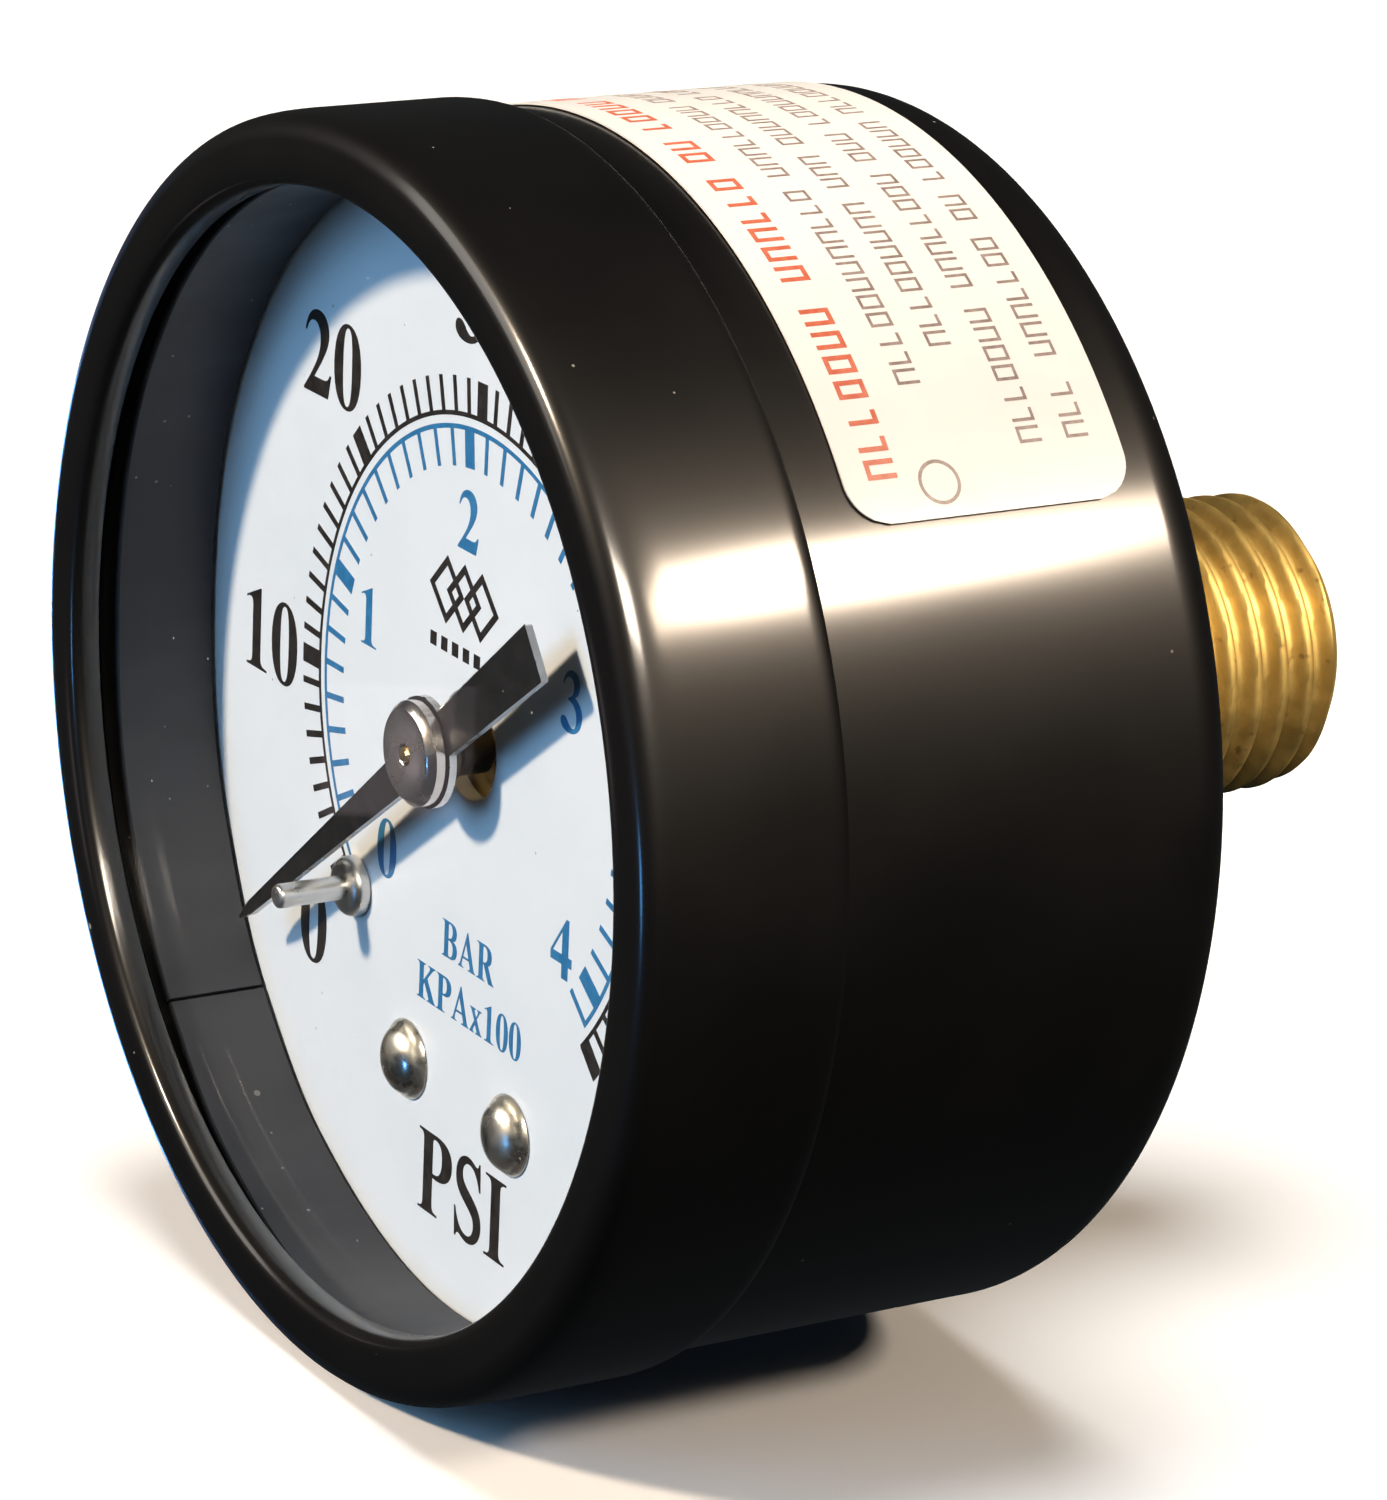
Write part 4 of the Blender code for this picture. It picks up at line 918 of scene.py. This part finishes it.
def hull(points):
    """The convex outline round a set of points."""
    ordered = sorted(points)

    def half(sequence):
        chain = []
        for p in sequence:
            while len(chain) > 1:
                (ax, az), (bx, bz) = chain[-2], chain[-1]
                if (bx - ax) * (p[1] - az) - (bz - az) * (p[0] - ax) > 1e-9:
                    break
                chain.pop()
            chain.append(p)
        return chain[:-1]

    return half(ordered) + half(ordered[::-1])


def thread_radius(angle, depth):
    """Outer radius of the tapered stem at an angle and a depth, thread and chamfer included."""
    crest = THREAD_SMALL_RADIUS + (OVERALL_DEPTH - depth) * THREAD_TAPER
    turn = ((depth - OVERALL_DEPTH) / THREAD_PITCH + angle / 360.0) % 1.0
    from_crest = abs(turn - 0.5) * 2
    slope = min(max((from_crest - CREST_FLAT) / (1 - 2 * CREST_FLAT), 0.0), 1.0)
    groove = slope * slope * (3 - 2 * slope)
    runout = min(max((depth - HEX_REAR) / THREAD_RUNOUT, 0.0), 1.0)
    radius = crest - THREAD_HEIGHT * groove * runout
    chamfer = THREAD_SMALL_RADIUS - 0.95 + (OVERALL_DEPTH - depth) * 1.1
    return min(radius, chamfer)


def add_block(mesh):
    """Flange and foot inside the case, wrench hexagon behind it and the neck between them."""
    left, right, bottom, top = -10.0, -2.2, -20.0, -13.7
    foot = [(left, bottom), (right, bottom), (right, top), (left, top)]
    prism([hull(arc(SOCKET_RADIUS, 0, 356.25, 95) + foot)], SOCKET_FRONT, SOCKET_REAR, mesh)
    prism([foot], 9.7, SOCKET_FRONT + 1, mesh)
    corner_radius = HEX_FLATS / 2 / math.cos(math.radians(30))
    hexagon = [polar(corner_radius, 30 + 60 * i) for i in range(6)]
    prism([hexagon], HEX_FRONT - 0.5, HEX_REAR, mesh)
    neck = [(0, SOCKET_REAR - 1), (NECK_RADIUS, SOCKET_REAR - 1), (NECK_RADIUS, HEX_FRONT)]
    turned(neck + [(0, HEX_FRONT)], 96, mesh=mesh)


def add_stem(mesh):
    """Threaded stem from inside the hexagon to its free end, with the start of its bore."""
    sides, steps = 144, 150
    start, end = HEX_REAR - 0.6, OVERALL_DEPTH
    angles = [360 * i / sides for i in range(sides)]
    rings = []
    for k in range(steps + 1):
        depth = start + (end - start) * k / steps
        rings.append([mesh.verts.new(place_round(thread_radius(angle, depth), angle, depth))
                      for angle in angles])
    bore = [(2.5, end), (1.95, end - 0.5), (BORE_RADIUS, end - 0.6), (BORE_RADIUS, 36.5)]
    for radius, depth in bore:
        rings.append([mesh.verts.new(place_round(radius, angle, depth)) for angle in angles])
    rings.append([mesh.verts.new(place(0.0, 36.0, 0.0))])
    for ring, following in zip(rings, rings[1:]):
        bridge(mesh, ring, following)
    mesh.faces.new(rings[0])


def make_socket():
    """Brass block and threaded stem as one piece."""
    mesh = bmesh.new()
    add_block(mesh)
    add_stem(mesh)
    piece("socket_threaded", mesh, [BRASS], "housing", ["socket"], 40)


# ---- Carried-over CAD nodes


def finish_cad_nodes():
    """Give the pieces of the movement, which keep their CAD shapes, the finishes made here."""
    by_slot = {"brass": PLAIN_BRASS, "bronze": BRONZE, "spring_bronze": SPRING,
               "screw_steel": STEEL, "nickel": NICKEL}
    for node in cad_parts.values():
        for held in node.material_slots:
            slot = held.material.name.split(".")[0]
            if slot in by_slot and not node.hide_render:
                held.material = by_slot[slot]


# ---- Floor, light and camera


def make_floor():
    """A wide pale floor that the bezel stands on."""
    mesh = bmesh.new()
    bmesh.ops.create_grid(mesh, x_segments=1, y_segments=1, size=15.0)
    floor = link_mesh("floor", mesh)
    floor.location.z = -BEZEL_RADIUS * MM - 0.00002
    f = Finish("pale_floor", Specular_IOR_Level=0.2, Roughness=0.8)
    f.colour(f.mix(f.noise(3), (0.90, 0.90, 0.90), (0.92, 0.92, 0.92)))
    floor.data.materials.append(f.material)
    # The object was lit over a dark bench, so the pale floor sends nothing back up to it.
    floor.visible_glossy = floor.visible_diffuse = floor.visible_shadow = False


def add_light(name, direction, distance, size, power, colour, target=(0.0, -0.035, 0.0)):
    """A rectangular area lamp in a direction from the target, facing it. Sizes are in metres."""
    data = bpy.data.lights.new(name, "AREA")
    data.shape = "RECTANGLE"
    data.size, data.size_y = size
    data.energy, data.color = power, colour
    lamp = bpy.data.objects.new(name, data)
    towards = Vector(direction).normalized()
    lamp.location = Vector(target) + towards * distance
    lamp.rotation_mode = "QUATERNION"
    lamp.rotation_quaternion = towards.to_track_quat("Z", "Y")
    lamp.visible_camera = False
    bpy.context.scene.collection.objects.link(lamp)
    return lamp


def make_lights():
    """Warm key in front of the dial, softboxes at the right, cool fills and a weak cool sky."""
    world = bpy.data.worlds.new("studio")
    world.use_nodes = True
    background = world.node_tree.nodes["Background"]
    background.inputs["Color"].default_value = (0.8, 0.92, 1.0, 1)
    background.inputs["Strength"].default_value = 0.028
    bpy.context.scene.world = world
    add_light("key", (-0.2, -0.83, 0.52), 0.6, (0.05, 0.05), 4.65, (1.0, 0.80, 0.585))
    add_light("side_softbox", (0.65, 0.50, 0.57), 0.45, (0.065, 0.065), 1.2, (1.0, 0.82, 0.64))
    # The cards and the cool lamps of this list show only as reflections.
    cards = [("side_strip", (0.66, 0.48, 0.57), 0.45, (0.17, 0.05), 2.0, (1.0, 0.80, 0.60)),
             ("corner_card", (0.76, -0.22, 0.62), 0.45, (0.24, 0.09), 5.5, (1.0, 0.86, 0.70)),
             ("cool_strip", (-0.93, 0.02, -0.33), 0.4, (0.03, 0.14), 0.4, (0.15, 0.45, 1.0)),
             ("cool_spot", (0.02, -0.97, -0.22), 0.5, (0.05, 0.05), 0.25, (0.12, 0.45, 1.0)),
             ("front_card", (-0.5, -0.75, 0.4), 0.5, (0.25, 0.25), 0.85, (1.0, 0.95, 0.88))]
    for card in cards:
        add_light(*card).visible_diffuse = False
    # The fill lights surfaces and isn't mirrored in any.
    add_light("cool_fill", (-0.1, -0.95, 0.25), 0.5, (0.24, 0.24), 1.45,
              (0.30, 0.61, 1.0)).visible_glossy = False
    add_light("grey_card", (-0.82, -0.5, -0.3), 0.075, (0.007, 0.007), 0.00011, (1.0, 0.82, 0.86),
              (0.0, -0.04385, 0.0)).visible_diffuse = False
    # A soft sun straight above lights the floor.
    sun = bpy.data.lights.new("overhead", "SUN")
    sun.energy, sun.angle, sun.color = 2.9, math.radians(30), (1.0, 0.99, 0.97)
    overhead = bpy.data.objects.new("overhead", sun)
    overhead.visible_glossy = False
    bpy.context.scene.collection.objects.link(overhead)


def make_camera():
    """A long lens to the right of the dial and a little above it, rolled slightly."""
    azimuth, elevation, roll = (math.radians(a) for a in (58.63, 17.88, 2.6))
    distance, shift_right, shift_up, aim_depth = 258.4, 6.92, -0.52, 10
    back = Vector((math.sin(azimuth) * math.cos(elevation),
                   -math.cos(azimuth) * math.cos(elevation), math.sin(elevation)))
    level = Vector((0, 0, 1)).cross(back).normalized()
    upright = back.cross(level)
    c, s = math.cos(roll), math.sin(roll)
    right, up = level * c + upright * s, upright * c - level * s
    aim = Vector((0, aim_depth - OVERALL_DEPTH, 0))
    position = back * distance + right * shift_right + up * shift_up + aim
    data = bpy.data.cameras.new("camera")
    data.sensor_width, data.lens = 36.0, 147.34392
    data.clip_start, data.clip_end = 0.005, 60.0
    camera = bpy.data.objects.new("camera", data)
    camera.matrix_world = Matrix.Translation(position * MM) @ Matrix(
        (right, up, back)).transposed().to_4x4()
    bpy.context.scene.collection.objects.link(camera)
    bpy.context.scene.camera = camera


make_bezel()
make_case()
make_case_screws()
make_window()
make_spacer()
make_dial()
make_dial_screws()
make_stop_pin()
make_pointer()
make_knob()
make_bush()
make_label()
make_bourdon_tube()
make_socket()
finish_cad_nodes()
make_floor()
make_lights()
make_camera()
bpy.context.scene.view_settings.view_transform = "Standard"
bpy.context.view_layer.update()
